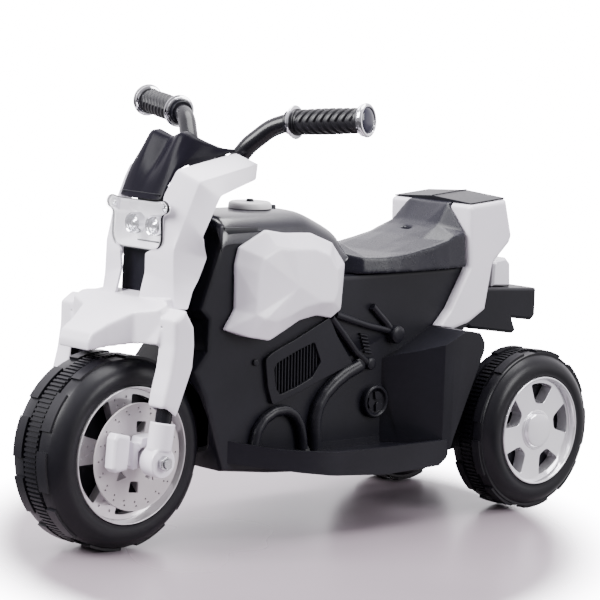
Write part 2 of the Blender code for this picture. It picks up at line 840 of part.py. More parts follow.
def body_shells():
    """The two black shells that carry everything: core, nose, footboards and wheel guards."""
    far = 0.25
    left = prism(CORE_OUTLINE, "X", -0.004, CORE_HALF, "body_left", black_plastic(), 0.007, "high")
    nose = rod(on_stem(NOSE_LOW), on_stem(NOSE_TOP), NOSE_R, sides=28)
    foot = crossed(FOOT_PLAN, 0.0, 0.2, FOOT_SIDE, -far, far)
    guard = crossed(GUARD_PLAN, 0.0, 0.4, GUARD_SIDE, -far, far)
    join(left, nose, foot, guard)

    core_room = prism(inset(CORE_OUTLINE, WALL), "X", -0.01, CORE_HALF - WALL)
    foot_room = crossed(
        inset(FOOT_PLAN, WALL), 0.0, SHELF_Z - WALL, inset(FOOT_SIDE, WALL), -far, far
    )
    guard_room = crossed(GUARD_PLAN_ROOM, 0.0, 0.4, GUARD_SIDE_ROOM, -far, far)
    nose_room = rod(on_stem(NOSE_LOW + WALL), on_stem(NOSE_TOP - WALL), NOSE_R - WALL, sides=28)
    post = rod(on_stem(NOSE_LOW - 0.01), on_stem(NOSE_TOP + 0.01), HEAD_TUBE_R + GAP + WALL, sides=20)
    cut(nose_room, post)
    shelf = prism(inset(FOOT_PLAN, 0.006), "Z", SHELF_Z, 0.2)
    keep_core = box((-0.1, -1.0, 0.0), (CORE_HALF + 0.0006, 1.0, 1.0))
    cut(shelf, keep_core)
    keep_guard = prism(GUARD_PLAN, "Z", 0.05, 0.4)
    cut(shelf, keep_guard)
    cut(left, core_room)
    join(left, rod(on_stem(NOSE_LOW + 0.001), on_stem(NOSE_TOP - 0.001), HEAD_TUBE_R + GAP + WALL, sides=20))
    cut(left, nose_room, foot_room, guard_room, shelf)
    cut(left, rod(on_stem(NOSE_LOW - 0.02), on_stem(NOSE_TOP + 0.02), HEAD_TUBE_R + GAP, sides=24))
    wheel_room = bmesh.new()
    bmesh.ops.create_uvsphere(wheel_room, u_segments=20, v_segments=12, radius=FRONT_TYRE_R + ARCH_ROOM)
    bmesh.ops.translate(wheel_room, verts=wheel_room.verts, vec=(0.0, FRONT_Y, FRONT_Z))
    cut(left, put(wheel_room, "guide", None))
    engine_relief(left)
    cut(left, box((-far, -1.0, -0.1), (SEAM, 1.0, 1.0)))

    settle(left)
    right = mirrored(left, "body_right", black_plastic())
    boss_end = REAR_WHEEL_X - REAR_TYRE_HALF + 0.0005 - 2 * GAP
    join(left, rod((CORE_HALF - 0.001, REAR_Y, REAR_Z), (boss_end, REAR_Y, REAR_Z), 0.014, sides=20))
    cut(left, axle_hole(REAR_Y, REAR_Z))
    cut(right, rod((-0.2, REAR_Y, REAR_Z), (-0.04, REAR_Y, REAR_Z), DRIVE_SLEEVE_R + 0.0008, sides=20))
    pedal_ears(right)
    cut(right, rod((-0.1, SOCKET_Y, SOCKET_Z), (-0.04, SOCKET_Y, SOCKET_Z), SOCKET_R + GAP))
    settle(left)
    settle(right)




def pedal_ears(body):
    """Two upright ears on the right footboard that hold the pedal's pin."""
    for x in (-(PEDAL_X + PEDAL_HALF + 0.0035), -(PEDAL_X - PEDAL_HALF + 0.0032)):
        join(
            body,
            box(
                (x, PEDAL_Y - 0.0045, SHELF_Z - 0.001),
                (x + 0.0032, PEDAL_Y + 0.0045, PEDAL_Z + 0.0045),
            ),
        )
    cut(body, rod((-0.2, PEDAL_Y, PEDAL_Z), (-0.06, PEDAL_Y, PEDAL_Z), PEDAL_PIN_R + GAP, sides=12))


def pedal():
    """The accelerator: a tread plate hinged at its back end."""
    low = PEDAL_X - PEDAL_HALF + 0.0036
    high = PEDAL_X + PEDAL_HALF - 0.0004
    outline = [
        (PEDAL_Y + 0.0035, PEDAL_Z - 0.003),
        (PEDAL_Y + 0.0035, PEDAL_Z + 0.005),
        (PEDAL_Y - PEDAL_LENGTH, PEDAL_Z + 0.012),
        (PEDAL_Y - PEDAL_LENGTH, PEDAL_Z + 0.0085),
        (PEDAL_Y - 0.006, PEDAL_Z - 0.003),
    ]
    plate = prism(outline, "X", -high, -low, "foot_pedal", black_plastic(), 0.0008, "both", 1)
    pin = rod(
        (-(PEDAL_X + PEDAL_HALF + 0.003), PEDAL_Y, PEDAL_Z),
        (-(PEDAL_X - PEDAL_HALF + 0.0005), PEDAL_Y, PEDAL_Z),
        PEDAL_PIN_R,
        sides=12,
    )
    join(plate, pin)
    return plate


# Fork and steering

def stem_plan(outline, low, high):
    """A plate square to the steering axis, from (side, back) points."""
    rings = [[on_stem(s, back, side) for side, back in outline] for s in (low, high)]
    return rings


SHELL_IN = LEG_X - 0.013
SHELL_OUT = LEG_X + 0.015
STANCHION_TOP = 0.158
SLIDER_TOP = 0.0445
YOKE_PLAN = [
    (0.022, 0.020),
    (0.060, -0.012),
    (SHELL_OUT - WALL - 0.0006, -0.041),
    (SHELL_OUT - WALL - 0.0006, -0.060),
    (LEG_X - 0.015, -0.062),
    (0.045, -0.034),
    (0.022, -0.022),
]


def whole(half):
    """A full outline from its left half, listed from one end to the other."""
    return half + [(-x, y) for x, y in half[::-1]]


def fork():
    """Yoke, stanchions, sliders and calipers that carry the front axle."""
    yoke = lofted(stem_plan(whole(YOKE_PLAN), YOKE_LOW, YOKE_LOW + YOKE_T), "fork_yoke", black_steel())
    cut(yoke, rod(on_stem(YOKE_LOW - 0.02), on_stem(YOKE_LOW + 0.04), COLUMN_R + GAP, sides=24))
    for side in (1, -1):
        cut(yoke, rod(on_leg(side, 0.10), on_leg(side, 0.20), STANCHION_R + GAP, sides=20))
    slider = rod(on_leg(1, 0.013), on_leg(1, SLIDER_TOP), SLIDER_R, "fork_slider_left", white_plastic(), sides=28)
    join(slider, rod((LEG_X - SLIDER_HALF, FRONT_Y, FRONT_Z), (LEG_X + SLIDER_HALF, FRONT_Y, FRONT_Z), BOSS_R, sides=28))
    bore = rod(on_leg(1, 0.0125), on_leg(1, 0.1), STANCHION_R + GAP, sides=20)
    cut(slider, bore, axle_hole(FRONT_Y, FRONT_Z))
    mirrored(slider, "fork_slider_right", white_plastic())
    for side, word in ((1, "left"), (-1, "right")):
        rod(on_leg(side, 0.0128), on_leg(side, STANCHION_TOP), STANCHION_R, f"fork_stanchion_{word}",
            black_steel(), sides=20)

    disc_face = FRONT_TYRE_HALF + 0.0065 + DISC_T + 0.0010
    slider_face = LEG_X - SLIDER_R - GAP
    front_block = [
        fore(-0.0510, FRONT_Z - 0.0060),
        fore(-0.0485, FRONT_Z + 0.0275),
        fore(-0.0445, FRONT_Z + 0.0335),
        fore(-0.0250, FRONT_Z + 0.0290),
        fore(-0.0285, FRONT_Z - 0.0095),
        fore(-0.0460, FRONT_Z - 0.0110),
    ]
    rear_block = [
        fore(-0.0215, FRONT_Z + 0.0220),
        fore(-0.0045, FRONT_Z + 0.0175),
        fore(-0.0080, FRONT_Z + 0.0140),
        fore(-0.0135, FRONT_Z + 0.0095),
        fore(-0.0138, FRONT_Z - 0.0090),
        fore(-0.0205, FRONT_Z - 0.0100),
    ]
    web = [
        fore(-0.0300, FRONT_Z + 0.0185),
        fore(-0.0180, FRONT_Z + 0.0170),
        fore(-0.0180, FRONT_Z - 0.0060),
        fore(-0.0300, FRONT_Z - 0.0060),
    ]
    arm = [
        fore(-0.012, FRONT_Z + 0.0150),
        fore(-0.010, FRONT_Z + 0.0260),
        fore(0.012, FRONT_Z + 0.0270),
        fore(0.014, FRONT_Z + 0.0160),
    ]
    caliper = prism(front_block, "X", disc_face, slider_face, "brake_caliper_left", white_plastic(), 0.003, "both", 1)
    join(
        caliper,
        prism(rear_block, "X", disc_face, slider_face - 0.0015),
        prism(web, "X", disc_face, disc_face + 0.0115),
        prism(arm, "X", disc_face, slider_face),
    )
    mirrored(caliper, "brake_caliper_right", white_plastic())


FENDER_ROOF = [
    fore(-0.0525, 0.2335),
    fore(-0.0535, 0.243),
    fore(-0.0485, 0.254),
    fore(-0.0265, 0.266),
    fore(-0.0025, 0.278),
    fore(0.0225, 0.290),
    fore(0.0480, 0.2935),
    fore(0.0480, 0.262),
    fore(0.0225, 0.244),
]

FENDER_PLAN = [
    (0.021, FRONT_Y - 0.080),
    (0.032, FRONT_Y - 0.030),
    (0.046, FRONT_Y - 0.003),
    (0.0775, FRONT_Y + 0.0080),
    (0.0775, FRONT_Y + 0.020),
    (0.062, FRONT_Y + 0.030),
    (0.062, FRONT_Y + 0.070),
]

LEG_SHELL = [
    fore(0.0085, 0.246),
    fore(0.0040, 0.217),
    fore(-0.0035, 0.190),
    fore(-0.0060, 0.176),
    fore(0.0150, 0.161),
    fore(0.0275, 0.192),
    fore(0.0380, 0.217),
    fore(0.0400, 0.243),
    fore(0.0385, 0.264),
    fore(0.0255, 0.284),
    fore(0.0085, 0.273),
]

LEG_SHELL_ROOM = [
    fore(0.0112, 0.2455),
    fore(0.0067, 0.2165),
    fore(-0.0007, 0.1895),
    fore(-0.0040, 0.150),
    fore(0.0128, 0.150),
    fore(0.0247, 0.1928),
    fore(0.0353, 0.2176),
    fore(0.0374, 0.243),
    fore(0.0360, 0.2628),
    fore(0.0243, 0.2810),
    fore(0.0110, 0.2714),
]

BRIDGE = [
    fore(0.0020, 0.243),
    fore(0.0100, 0.273),
    fore(0.0235, 0.2835),
    fore(0.0470, 0.2790),
    fore(0.0490, 0.243),
]

BRIDGE_ROOM = [
    fore(0.0070, 0.200),
    fore(0.0070, 0.2165),
    fore(0.0114, 0.2455),
    fore(0.0124, 0.2715),
    fore(0.0243, 0.2803),
    fore(0.0444, 0.2765),
    fore(0.0600, 0.2500),
    fore(0.0600, 0.200),
]


def fender():
    """The white front fender: roof, pointed tip and the covers over both fork legs."""
    piece = prism(whole(FENDER_PLAN), "Z", 0.1, 0.4, "front_fender", white_plastic())
    boolean(piece, "INTERSECT", prism(FENDER_ROOF, "X", -0.1, 0.1))
    for side in (1, -1):
        low, high = sorted((side * SHELL_IN, side * SHELL_OUT))
        outer = "high" if side > 0 else "low"
        join(piece, prism(LEG_SHELL, "X", low, high, round_by=0.004, round_side=outer))
        low, high = sorted((side * 0.040, side * (SHELL_IN + 0.004)))
        join(piece, prism(BRIDGE, "X", low, high))
    roof_room = [(y, z) for y, z in inset(FENDER_ROOF, WALL)]
    roof_room[0] = fore(-0.0495, 0.20)
    roof_room[-1] = fore(0.0225, 0.20)
    roof_room[-2] = fore(0.0600, 0.20)
    roof_room[-3] = fore(0.0600, 0.2905)
    room = prism(inset(whole(FENDER_PLAN), WALL), "Z", 0.1, 0.4)
    boolean(room, "INTERSECT", prism(roof_room, "X", -0.1, 0.1))
    cut(piece, room)
    for side in (1, -1):
        low, high = sorted((side * (SHELL_IN + WALL), side * (SHELL_OUT - WALL)))
        cut(piece, prism(LEG_SHELL_ROOM, "X", low, high))
        low, high = sorted((side * 0.040, side * (SHELL_IN + WALL + 0.001)))
        cut(piece, prism(BRIDGE_ROOM, "X", low, high))
        cut(piece, rod(on_leg(side, 0.0), on_leg(side, STANCHION_TOP + GAP), STANCHION_R + GAP, sides=20))
    grown = inset(whole(YOKE_PLAN), -GAP)
    cut(piece, lofted(stem_plan(grown, YOKE_LOW - GAP, YOKE_LOW + YOKE_T + GAP)))
    cut(piece, rod(on_stem(0.10), on_stem(0.35), NOSE_R + 0.002, sides=28))


def steering_column():
    """The steel column with its foot flange, through the yoke and the head tube."""
    foot = YOKE_LOW - 0.0035
    top = BAR_HEIGHT - BAR_R - 0.003
    turned(
        [
            (0.0, foot),
            (0.0155, foot),
            (0.0155, YOKE_LOW - GAP),
            (COLUMN_R, YOKE_LOW - GAP),
            (COLUMN_R, top),
            (0.0, top),
        ],
        STEER_BASE,
        STEER_UP,
        "steering_column",
        steel(),
        closed=False,
        steps=24,
    )
    turned(
        [
            (HEAD_TUBE_R, HEAD_TUBE_TOP),
            (HEAD_TUBE_R, HEAD_TUBE_LOW),
            (COLUMN_R + RUNNING, HEAD_TUBE_LOW),
            (COLUMN_R + RUNNING, HEAD_TUBE_TOP),
        ],
        STEER_BASE,
        STEER_UP,
        "head_tube",
        steel(),
        steps=24,
    )


def bar_points(side=1):
    """The handlebar's bends on the left (1) or right (-1) side."""
    middle = on_stem(BAR_HEIGHT)
    bends = [
        (0.0335, 0.0, 0.0),
        (0.052, 0.008, 0.026),
        (0.074, 0.0225, 0.0475),
        (GRIP_IN_X - 0.006, 0.0313, 0.0548),
        (GRIP_OUT_X + 0.001, 0.0608, 0.0633),
    ]
    return [Vector((side * x, middle.y + dy, middle.z + dz)) for x, dy, dz in bends]


def bent(points, radius, steps=4):
    """A path with each inner corner rounded by an arc, straight between the arcs."""
    path = [points[0]]
    for before, here, after in zip(points, points[1:], points[2:]):
        first = (before - here).normalized()
        second = (after - here).normalized()
        turn = math.pi - first.angle(second)
        reach = min(radius * math.tan(turn / 2), (before - here).length * 0.45, (after - here).length * 0.45)
        arc_r = reach / math.tan(turn / 2)
        bisector = (first + second).normalized()
        centre = here + bisector * (arc_r / math.cos(turn / 2))
        start = here + first * reach - centre
        end = here + second * reach - centre
        sweep = start.angle(end)
        for k in range(steps + 1):
            share = k / steps
            spoke = start * math.sin((1.0 - share) * sweep) + end * math.sin(share * sweep)
            path.append(centre + spoke / math.sin(sweep))
    path.append(points[-1])
    return path


def grip_axis(side):
    """A point at the inner end of the grip and the grip's outward direction."""
    bends = bar_points(side)
    outward = (bends[-1] - bends[-2]).normalized()
    start = bends[-2] + outward * ((GRIP_IN_X - abs(bends[-2].x)) / abs(outward.x))
    return start, outward


def handlebar():
    """One bent tube with a clamp, and grips, rings and bar ends on both sides."""
    left = bar_points(1)
    right = bar_points(-1)
    path = bent(right[::-1] + left, 0.030)
    tube(path, BAR_R, "handlebar", black_steel(), smooth=False)

    half = 0.020
    low = BAR_HEIGHT - 0.030
    outline = [(side * half, back) for side, back in ((1, -0.016), (1, 0.016), (-1, 0.016), (-1, -0.016))]
    clamp = lofted(stem_plan(outline, low, BAR_HEIGHT + 0.0135), "handlebar_clamp", black_plastic())
    edge = clamp.modifiers.new("soften", "BEVEL")
    edge.width = 0.003
    edge.segments = 2
    neck = rod(on_stem(HEAD_TUBE_TOP + RUNNING), on_stem(low + 0.004), 0.0150, sides=24)
    join(clamp, neck)
    cut(clamp, rod(on_stem(0.2), on_stem(BAR_HEIGHT - BAR_R - 0.0027), COLUMN_R + GAP, sides=24))
    cut(clamp, rod(on_stem(BAR_HEIGHT, 0.0, -0.05), on_stem(BAR_HEIGHT, 0.0, 0.05), BAR_R + GAP, sides=24))

    length = (GRIP_OUT_X - GRIP_IN_X) / abs(grip_axis(1)[1].x)
    bore = BAR_R + GAP
    for side, word in ((1, "left"), (-1, "right")):
        start, outward = grip_axis(side)
        turned(
            [
                (RING_R, RING_T - 0.0012),
                (RING_R, 0.0012),
                (RING_R - 0.0012, 0.0),
                (bore, 0.0),
                (bore, RING_T),
                (RING_R - 0.0012, RING_T),
            ],
            start, outward, f"grip_ring_{word}", chrome(), steps=16,
        )
        grip_start = RING_T + GAP
        grip_end = length - RING_T - GAP
        turned(
            [
                (GRIP_R + 0.0006, grip_end),
                (GRIP_R + 0.0006, grip_end - 0.004),
                (GRIP_R - 0.0006, grip_end - 0.008),
                (GRIP_R, (grip_start + grip_end) / 2),
                (GRIP_R - 0.0006, grip_start + 0.008),
                (GRIP_R + 0.0006, grip_start + 0.004),
                (GRIP_R + 0.0006, grip_start),
                (bore, grip_start),
                (bore, grip_end),
            ],
            start, outward, f"grip_{word}", grip_rubber(), steps=16,
        )
        turned(
            [
                (0.0, length + 0.0048),
                (RING_R - 0.0045, length + 0.0034),
                (RING_R - 0.0035, length + 0.0022),
                (RING_R - 0.0012, length + 0.0022),
                (RING_R, length + 0.001),
                (RING_R, length - RING_T + 0.0012),
                (RING_R - 0.0012, length - RING_T),
                (bore, length - RING_T),
                (bore, length + 0.0012 + GAP),
                (0.0, length + 0.0012 + GAP),
            ],
            start, outward, f"bar_end_{word}", chrome(), closed=False, steps=16,
        )


# Fairing and headlight

FAIRING_FRONT = [
    (0.056, 0.1347, 0.4535),
    (0.048, 0.0967, 0.4445),
    (0.0418, 0.0587, 0.4355),
    (0.0388, 0.0417, 0.405),
    (0.0445, 0.0392, 0.352),
    (0.0225, 0.0307, 0.340),
    (0.0215, 0.0317, 0.318),
    (0.0215, 0.0227, 0.286),
]

FAIRING_CREASE = [
    (0.072, 0.1547, 0.4415),
    (0.068, 0.1137, 0.432),
    (0.0655, 0.0722, 0.423),
    (0.0645, 0.0547, 0.385),
    (0.0600, 0.0412, 0.347),
    (0.0600, 0.0407, 0.330),
    (0.0610, 0.0407, 0.308),
    (0.0650, 0.0397, 0.280),
]

FAIRING_REAR = [
    (0.074, 0.1507, 0.424),
    (0.0745, 0.1232, 0.4155),
    (0.0750, 0.0967, 0.407),
    (0.0770, 0.0687, 0.361),
    (0.0735, 0.0792, 0.337),
    (0.0730, 0.0677, 0.312),
    (0.0740, 0.0587, 0.300),
    (0.0750, 0.0512, 0.280),
]


LENS_OUTLINE = whole([
    (0.0300, 0.3430),
    (0.0390, 0.3465),
    (0.0435, 0.3550),
    (0.0425, 0.3840),
    (0.0520, 0.3875),
    (0.0545, 0.3945),
    (0.0480, 0.4015),
    (0.0340, 0.3990),
])
LENS_FRONT = FRONT_Y + 0.0312
LENS_BACK = FRONT_Y + 0.0372


def from_front(points):
    return [(x, FRONT_Y + dy, z) for x, dy, z in points]


def fairings():
    """The white headlight surround, one thin shell on each side."""
    left = sheet(
        [from_front(line) for line in (FAIRING_FRONT, FAIRING_CREASE, FAIRING_REAR)],
        WALL, "fairing_left", white_plastic(), (1.0, -0.6, 0.3),
    )
    cut(left, prism(inset(FENDER_ROOF, -GAP), "X", -0.1, FENDER_PLAN[-1][0] + GAP))
    cut(left, prism(inset(LEG_SHELL, -GAP), "X", SHELL_IN - GAP, SHELL_OUT + GAP))
    cut(left, prism(inset(BRIDGE, -GAP), "X", 0.03, SHELL_IN + 0.004))
    cut(left, prism(inset(LENS_OUTLINE, -GAP), "Y", LENS_FRONT - 0.003, LENS_BACK + GAP))
    mirrored(left, "fairing_right", white_plastic())


COWL_COLUMNS = [
    [(0.0, 0.0377, 0.4065), (0.0, 0.0567, 0.434), (0.0, 0.0817, 0.466)],
    [(0.018, 0.0382, 0.4065), (0.024, 0.0582, 0.438), (0.030, 0.0797, 0.476)],
    [(0.0365, 0.0412, 0.4075), (0.0385, 0.0572, 0.4375), (0.0385, 0.0882, 0.4705)],
    [(0.0405, 0.0622, 0.4375), (0.0425, 0.0787, 0.4525), (0.0435, 0.1042, 0.4645)],
    [(0.0485, 0.0977, 0.4465), (0.049, 0.1067, 0.453), (0.0485, 0.1182, 0.4595)],
    [(0.0555, 0.1327, 0.4550), (0.0555, 0.1332, 0.4565), (0.0555, 0.1337, 0.458)],
]


def cowl():
    """The black cowl above the headlight, with its back plate, tongue and clamp arm."""
    half = [from_front(column) for column in COWL_COLUMNS]
    right = [[(-x, y, z) for x, y, z in column] for column in half[:0:-1]]
    skin = sheet(right + half, WALL, "windshield_cowl", black_plastic(), (0.0, -1.0, 0.6))
    plate = [
        fore(0.0690, 0.414),
        fore(0.0690, 0.350),
        fore(0.0500, 0.305),
        fore(0.0470, 0.305),
        fore(0.0660, 0.351),
        fore(0.0660, 0.414),
    ]
    join(skin, prism(plate, "X", -0.0335, 0.0335))
    join(skin, box((-0.0335, FRONT_Y + 0.0400, 0.4050), (0.0335, FRONT_Y + 0.0690, 0.4078)))
    clamp_front = on_stem(BAR_HEIGHT - 0.016, -0.016)
    join(skin, box((-0.012, FRONT_Y + 0.0670, 0.398), (0.012, clamp_front.y + 0.010, 0.409)))
    outline = [(side * 0.0203, back) for side, back in ((1, -0.0163), (1, 0.03), (-1, 0.03), (-1, -0.0163))]
    cut(skin, lofted(stem_plan(outline, 0.28, 0.40)))


def headlight():
    """A hollow reflector dish and the clear lens in front of it."""
    front = FRONT_Y + 0.0375
    back = FRONT_Y + 0.0657
    outline = whole([
        (0.0300, 0.3525),
        (0.0355, 0.3570),
        (0.0345, 0.3930),
        (0.0290, 0.3985),
    ])
    dish = prism(outline, "Y", front, back, "headlight_reflector", chrome())
    inner = lofted([
        [(x, front - 0.001, z) for x, z in inset(outline, 0.0018)],
        [(x * 0.70, back - 0.003, 0.3755 + (z - 0.3755) * 0.70) for x, z in inset(outline, 0.0018)],
    ])
    cut(dish, inner)
    lens = prism(LENS_OUTLINE, "Y", LENS_FRONT, LENS_BACK, "headlight_lens", clear_plastic(),
                 0.0025, "low")
    room = prism(inset(LENS_OUTLINE, 0.0028), "Y", FRONT_Y + 0.0340, FRONT_Y + 0.0400)
    cut(lens, room)


# Tank, seat and tail

COVER_OUTLINE = [
    fore(0.1130, 0.3700),
    fore(0.1145, 0.3745),
    fore(0.1215, TANK_TOP),
    fore(0.2540, TANK_TOP),
    fore(0.3070, TANK_TOP - 0.0235),
    fore(0.3190, TANK_TOP - 0.0440),
    fore(0.3190, 0.330),
    fore(0.3000, 0.320),
    fore(0.2800, 0.335),
    fore(0.2350, 0.350),
    fore(0.1215, 0.355),
]
ROCKER_HALF = 0.0065
ROCKER_PIN_R = 0.0015
ROCKER_DEPTH = 0.0045
CAP_Y = FRONT_Y + 0.2098
HORN_Y = FRONT_Y + 0.2460


def slope_frame():
    """The sloping rear part of the tank cover: origin at the rocker, u down the slope, n outwards."""
    top = Vector((0.0, COVER_OUTLINE[3][0], COVER_OUTLINE[3][1]))
    low = Vector((0.0, COVER_OUTLINE[4][0], COVER_OUTLINE[4][1]))
    along = (low - top).normalized()
    out = Vector((0.0, -along.z, along.y))
    middle = top + (low - top) * 0.58
    return middle, along, out


def sloped(points, low, high, name="guide", look=None):
    """A prism across X from (u, n) points in the rocker's frame."""
    middle, along, out = slope_frame()
    spots = [middle + along * u + out * n for u, n in points]
    return prism([(spot.y, spot.z) for spot in spots], "X", low, high, name, look)


def tank_top():
    """Cover, filler cap, two push buttons and the rocker switch."""
    cover = prism(COVER_OUTLINE, "X", -TANK_HALF, TANK_HALF, "tank_cover", black_plastic(), 0.003, "both")
    cut(cover, prism(inset(COVER_OUTLINE, WALL), "X", -TANK_HALF + WALL, TANK_HALF - WALL))
    cut(cover, prism(inset(CORE_OUTLINE, -GAP), "X", -0.1, 0.1))
    cut(cover, rod(on_stem(NOSE_LOW), on_stem(NOSE_TOP + GAP), NOSE_R + GAP, sides=28))
    cut(cover, rod(on_stem(NOSE_LOW), on_stem(BAR_HEIGHT - 0.02), HEAD_TUBE_R + 0.003, sides=24))
    frame = [(-0.0172, -0.0001), (0.0172, -0.0001), (0.0172, -0.0085), (-0.0172, -0.0085)]
    join(cover, sloped([(u, n - 0.001) for u, n in frame], -ROCKER_HALF - 0.0034, ROCKER_HALF + 0.0034))
    window = [(-0.0147, 0.02), (0.0147, 0.02), (0.0147, -0.02), (-0.0147, -0.02)]
    cut(cover, sloped(window, -ROCKER_HALF - RUNNING, ROCKER_HALF + RUNNING))
    middle, along, out = slope_frame()
    pivot = middle - out * ROCKER_DEPTH
    pin_x = ROCKER_HALF + 0.0024
    cut(cover, rod(pivot - SIDE * (pin_x + GAP), pivot + SIDE * (pin_x + GAP), ROCKER_PIN_R + GAP, sides=12))
    for y, radius in ((CAP_Y, 0.0075), (HORN_Y, 0.0045 + RUNNING)):
        cut(cover, rod((0.0, y, TANK_TOP - 0.022), (0.0, y, TANK_TOP + 0.018), radius, sides=20))

    body = [
        (-0.0130, 0.0036), (0.0, 0.0016), (0.0130, 0.0036),
        (0.0122, -0.0040), (0.0050, -0.0078), (-0.0050, -0.0078), (-0.0122, -0.0040),
    ]
    rocker = sloped(body, -ROCKER_HALF, ROCKER_HALF, "power_rocker", green_plastic())
    join(rocker, rod(pivot - SIDE * pin_x, pivot + SIDE * pin_x, ROCKER_PIN_R, sides=12))

    base = TANK_TOP + GAP
    turned(
        [
            (CAP_R - 0.003, base + CAP_T),
            (CAP_R - 0.0005, base + CAP_T - 0.0025),
            (CAP_R, base + CAP_T - 0.005),
            (CAP_R, base),
            (0.0045 + RUNNING, base),
            (0.0045 + RUNNING, base + CAP_T - 0.0005),
            (CAP_R - 0.0060, base + CAP_T - 0.0005),
            (CAP_R - 0.0060, base + CAP_T),
        ],
        (0.0, CAP_Y, 0.0), (0.0, 0.0, 1.0), "tank_cap", grey_plastic(), steps=24,
    )
    for name, y, under, top in (
        ("music_button", CAP_Y, base - GAP, base + CAP_T + 0.003),
        ("horn_button", HORN_Y, TANK_TOP - WALL - GAP, TANK_TOP + 0.003),
    ):
        turned(
            [
                (0.0, top),
                (0.0032, top),
                (0.0045, top - 0.0012),
                (0.0045, under),
                (0.0062, under),
                (0.0062, under - 0.0015),
                (0.0, under - 0.0015),
            ],
            (0.0, y, 0.0), (0.0, 0.0, 1.0), name, black_plastic(), closed=False, steps=20,
        )


TANK_EDGE = [
    (0.0640, 0.1797, 0.3635),
    (0.0680, 0.2057, 0.3590),
    (0.0640, 0.2507, 0.3570),
    (0.0615, 0.2887, 0.3435),
    (0.0610, 0.3117, 0.3170),
    (0.0640, 0.3047, 0.2620),
    (0.0650, 0.2877, 0.2530),
    (0.0700, 0.2587, 0.2585),
    (0.0750, 0.2267, 0.2555),
    (0.0780, 0.2007, 0.2455),
    (0.0800, 0.1747, 0.2355),
    (0.0780, 0.1457, 0.2410),
    (0.0650, 0.1187, 0.2500),
    (0.0630, 0.1347, 0.2730),
    (0.0620, 0.1337, 0.3260),
    (0.0620, 0.1387, 0.3450),
]

TANK_CROWN = [
    (0.0800, 0.1850, 0.3440),
    (0.0830, 0.2080, 0.3410),
    (0.0800, 0.2440, 0.3390),
    (0.0760, 0.2720, 0.3300),
    (0.0740, 0.2870, 0.3120),
    (0.0760, 0.2860, 0.2840),
    (0.0780, 0.2780, 0.2740),
    (0.0820, 0.2560, 0.2760),
    (0.0850, 0.2270, 0.2730),
    (0.0870, 0.2020, 0.2650),
    (0.0880, 0.1790, 0.2590),
    (0.0870, 0.1620, 0.2620),
    (0.0830, 0.1500, 0.2680),
    (0.0820, 0.1520, 0.2830),
    (0.0800, 0.1550, 0.3160),
    (0.0800, 0.1620, 0.3330),
]


def tank_panels():
    """The faceted white side panels of the tank, as thin open shells."""
    base_x = CORE_HALF + GAP
    edge = from_front(TANK_EDGE)
    crown = from_front(TANK_CROWN)
    base = [(base_x, y, z) for x, y, z in edge]
    centre = sum((Vector(point) for point in crown), Vector()) / len(crown)
    centre.x = 0.0885
    rings = [base, edge, crown]
    bm = bmesh.new()
    loops = [[bm.verts.new(point) for point in ring] for ring in rings]
    count = len(edge)
    for first, second in zip(loops, loops[1:]):
        for i in range(count):
            j = (i + 1) % count
            bm.faces.new((first[i], first[j], second[j], second[i]))
    top = bm.verts.new(centre)
    for i in range(count):
        bm.faces.new((loops[-1][i], loops[-1][(i + 1) % count], top))
    bmesh.ops.triangulate(bm, faces=bm.faces)
    bmesh.ops.recalc_face_normals(bm, faces=bm.faces)
    bm.faces.ensure_lookup_table()
    if max(bm.faces, key=lambda face: face.calc_center_median().x).normal.x < 0:
        bmesh.ops.reverse_faces(bm, faces=bm.faces)
    mesh = bpy.data.meshes.new("tank_panel_left")
    bm.to_mesh(mesh)
    bm.free()
    mesh.materials.append(white_plastic())
    panel = bpy.data.objects.new("tank_panel_left", mesh)
    PARTS.objects.link(panel)
    wall = panel.modifiers.new("wall", "SOLIDIFY")
    wall.thickness = 0.0025
    wall.offset = -1.0
    mirrored(panel, "tank_panel_right", white_plastic())


SEAT_STATIONS = [
    (-0.2595, [(0.0, 0.0320), (0.018, 0.0310), (0.030, 0.0290), (0.0420, 0.0255), (0.0450, 0.0)]),
    (-0.2370, [(0.0, 0.0355), (0.020, 0.0340), (0.040, 0.0270), (0.0580, 0.0200), (0.0610, 0.0)]),
    (-0.2050, [(0.0, 0.0185), (0.020, 0.0185), (0.045, 0.0185), (0.0660, 0.0195), (0.0690, 0.0)]),
    (-0.1820, [(0.0, 0.0215), (0.020, 0.0215), (0.045, 0.0215), (0.0680, 0.0210), (0.0715, 0.0)]),
    (-0.1530, [(0.0, 0.0300), (0.020, 0.0300), (0.045, 0.0290), (0.0690, 0.0250), (0.0725, 0.0)]),
    (-0.1230, [(0.0, 0.0390), (0.020, 0.0390), (0.045, 0.0360), (0.0700, 0.0300), (0.0730, 0.0)]),
    (-0.0990, [(0.0, 0.0480), (0.020, 0.0480), (0.040, 0.0470), (0.0690, 0.0350), (0.0720, 0.0)]),
    (-0.0900, [(0.0, 0.0540), (0.020, 0.0540), (0.040, 0.0520), (0.0680, 0.0390), (0.0710, 0.0)]),
    (-0.0655, [(0.0, 0.0770), (0.020, 0.0775), (0.034, 0.0790), (0.0660, 0.0430), (0.0695, 0.0)]),
]


def seat_solid(wall, base_z, foot, name="guide", look=None):
    """The seat's outer shape, or the room inside it when a wall is taken off."""
    rings = []
    last = len(SEAT_STATIONS) - 1
    for k, (dy, half) in enumerate(SEAT_STATIONS):
        shift = wall if k == 0 else (-wall if k == last else 0.0)
        y = REAR_Y + dy + shift
        points = []
        for i, (x, h) in enumerate(half):
            narrow = wall if i >= 3 else 0.0
            points.append((x - narrow, y, base_z + (foot if i == len(half) - 1 else h - wall)))
        rings.append([(-x, y, z) for x, y, z in points[:0:-1]] + points)
    return lofted(rings, name, look)


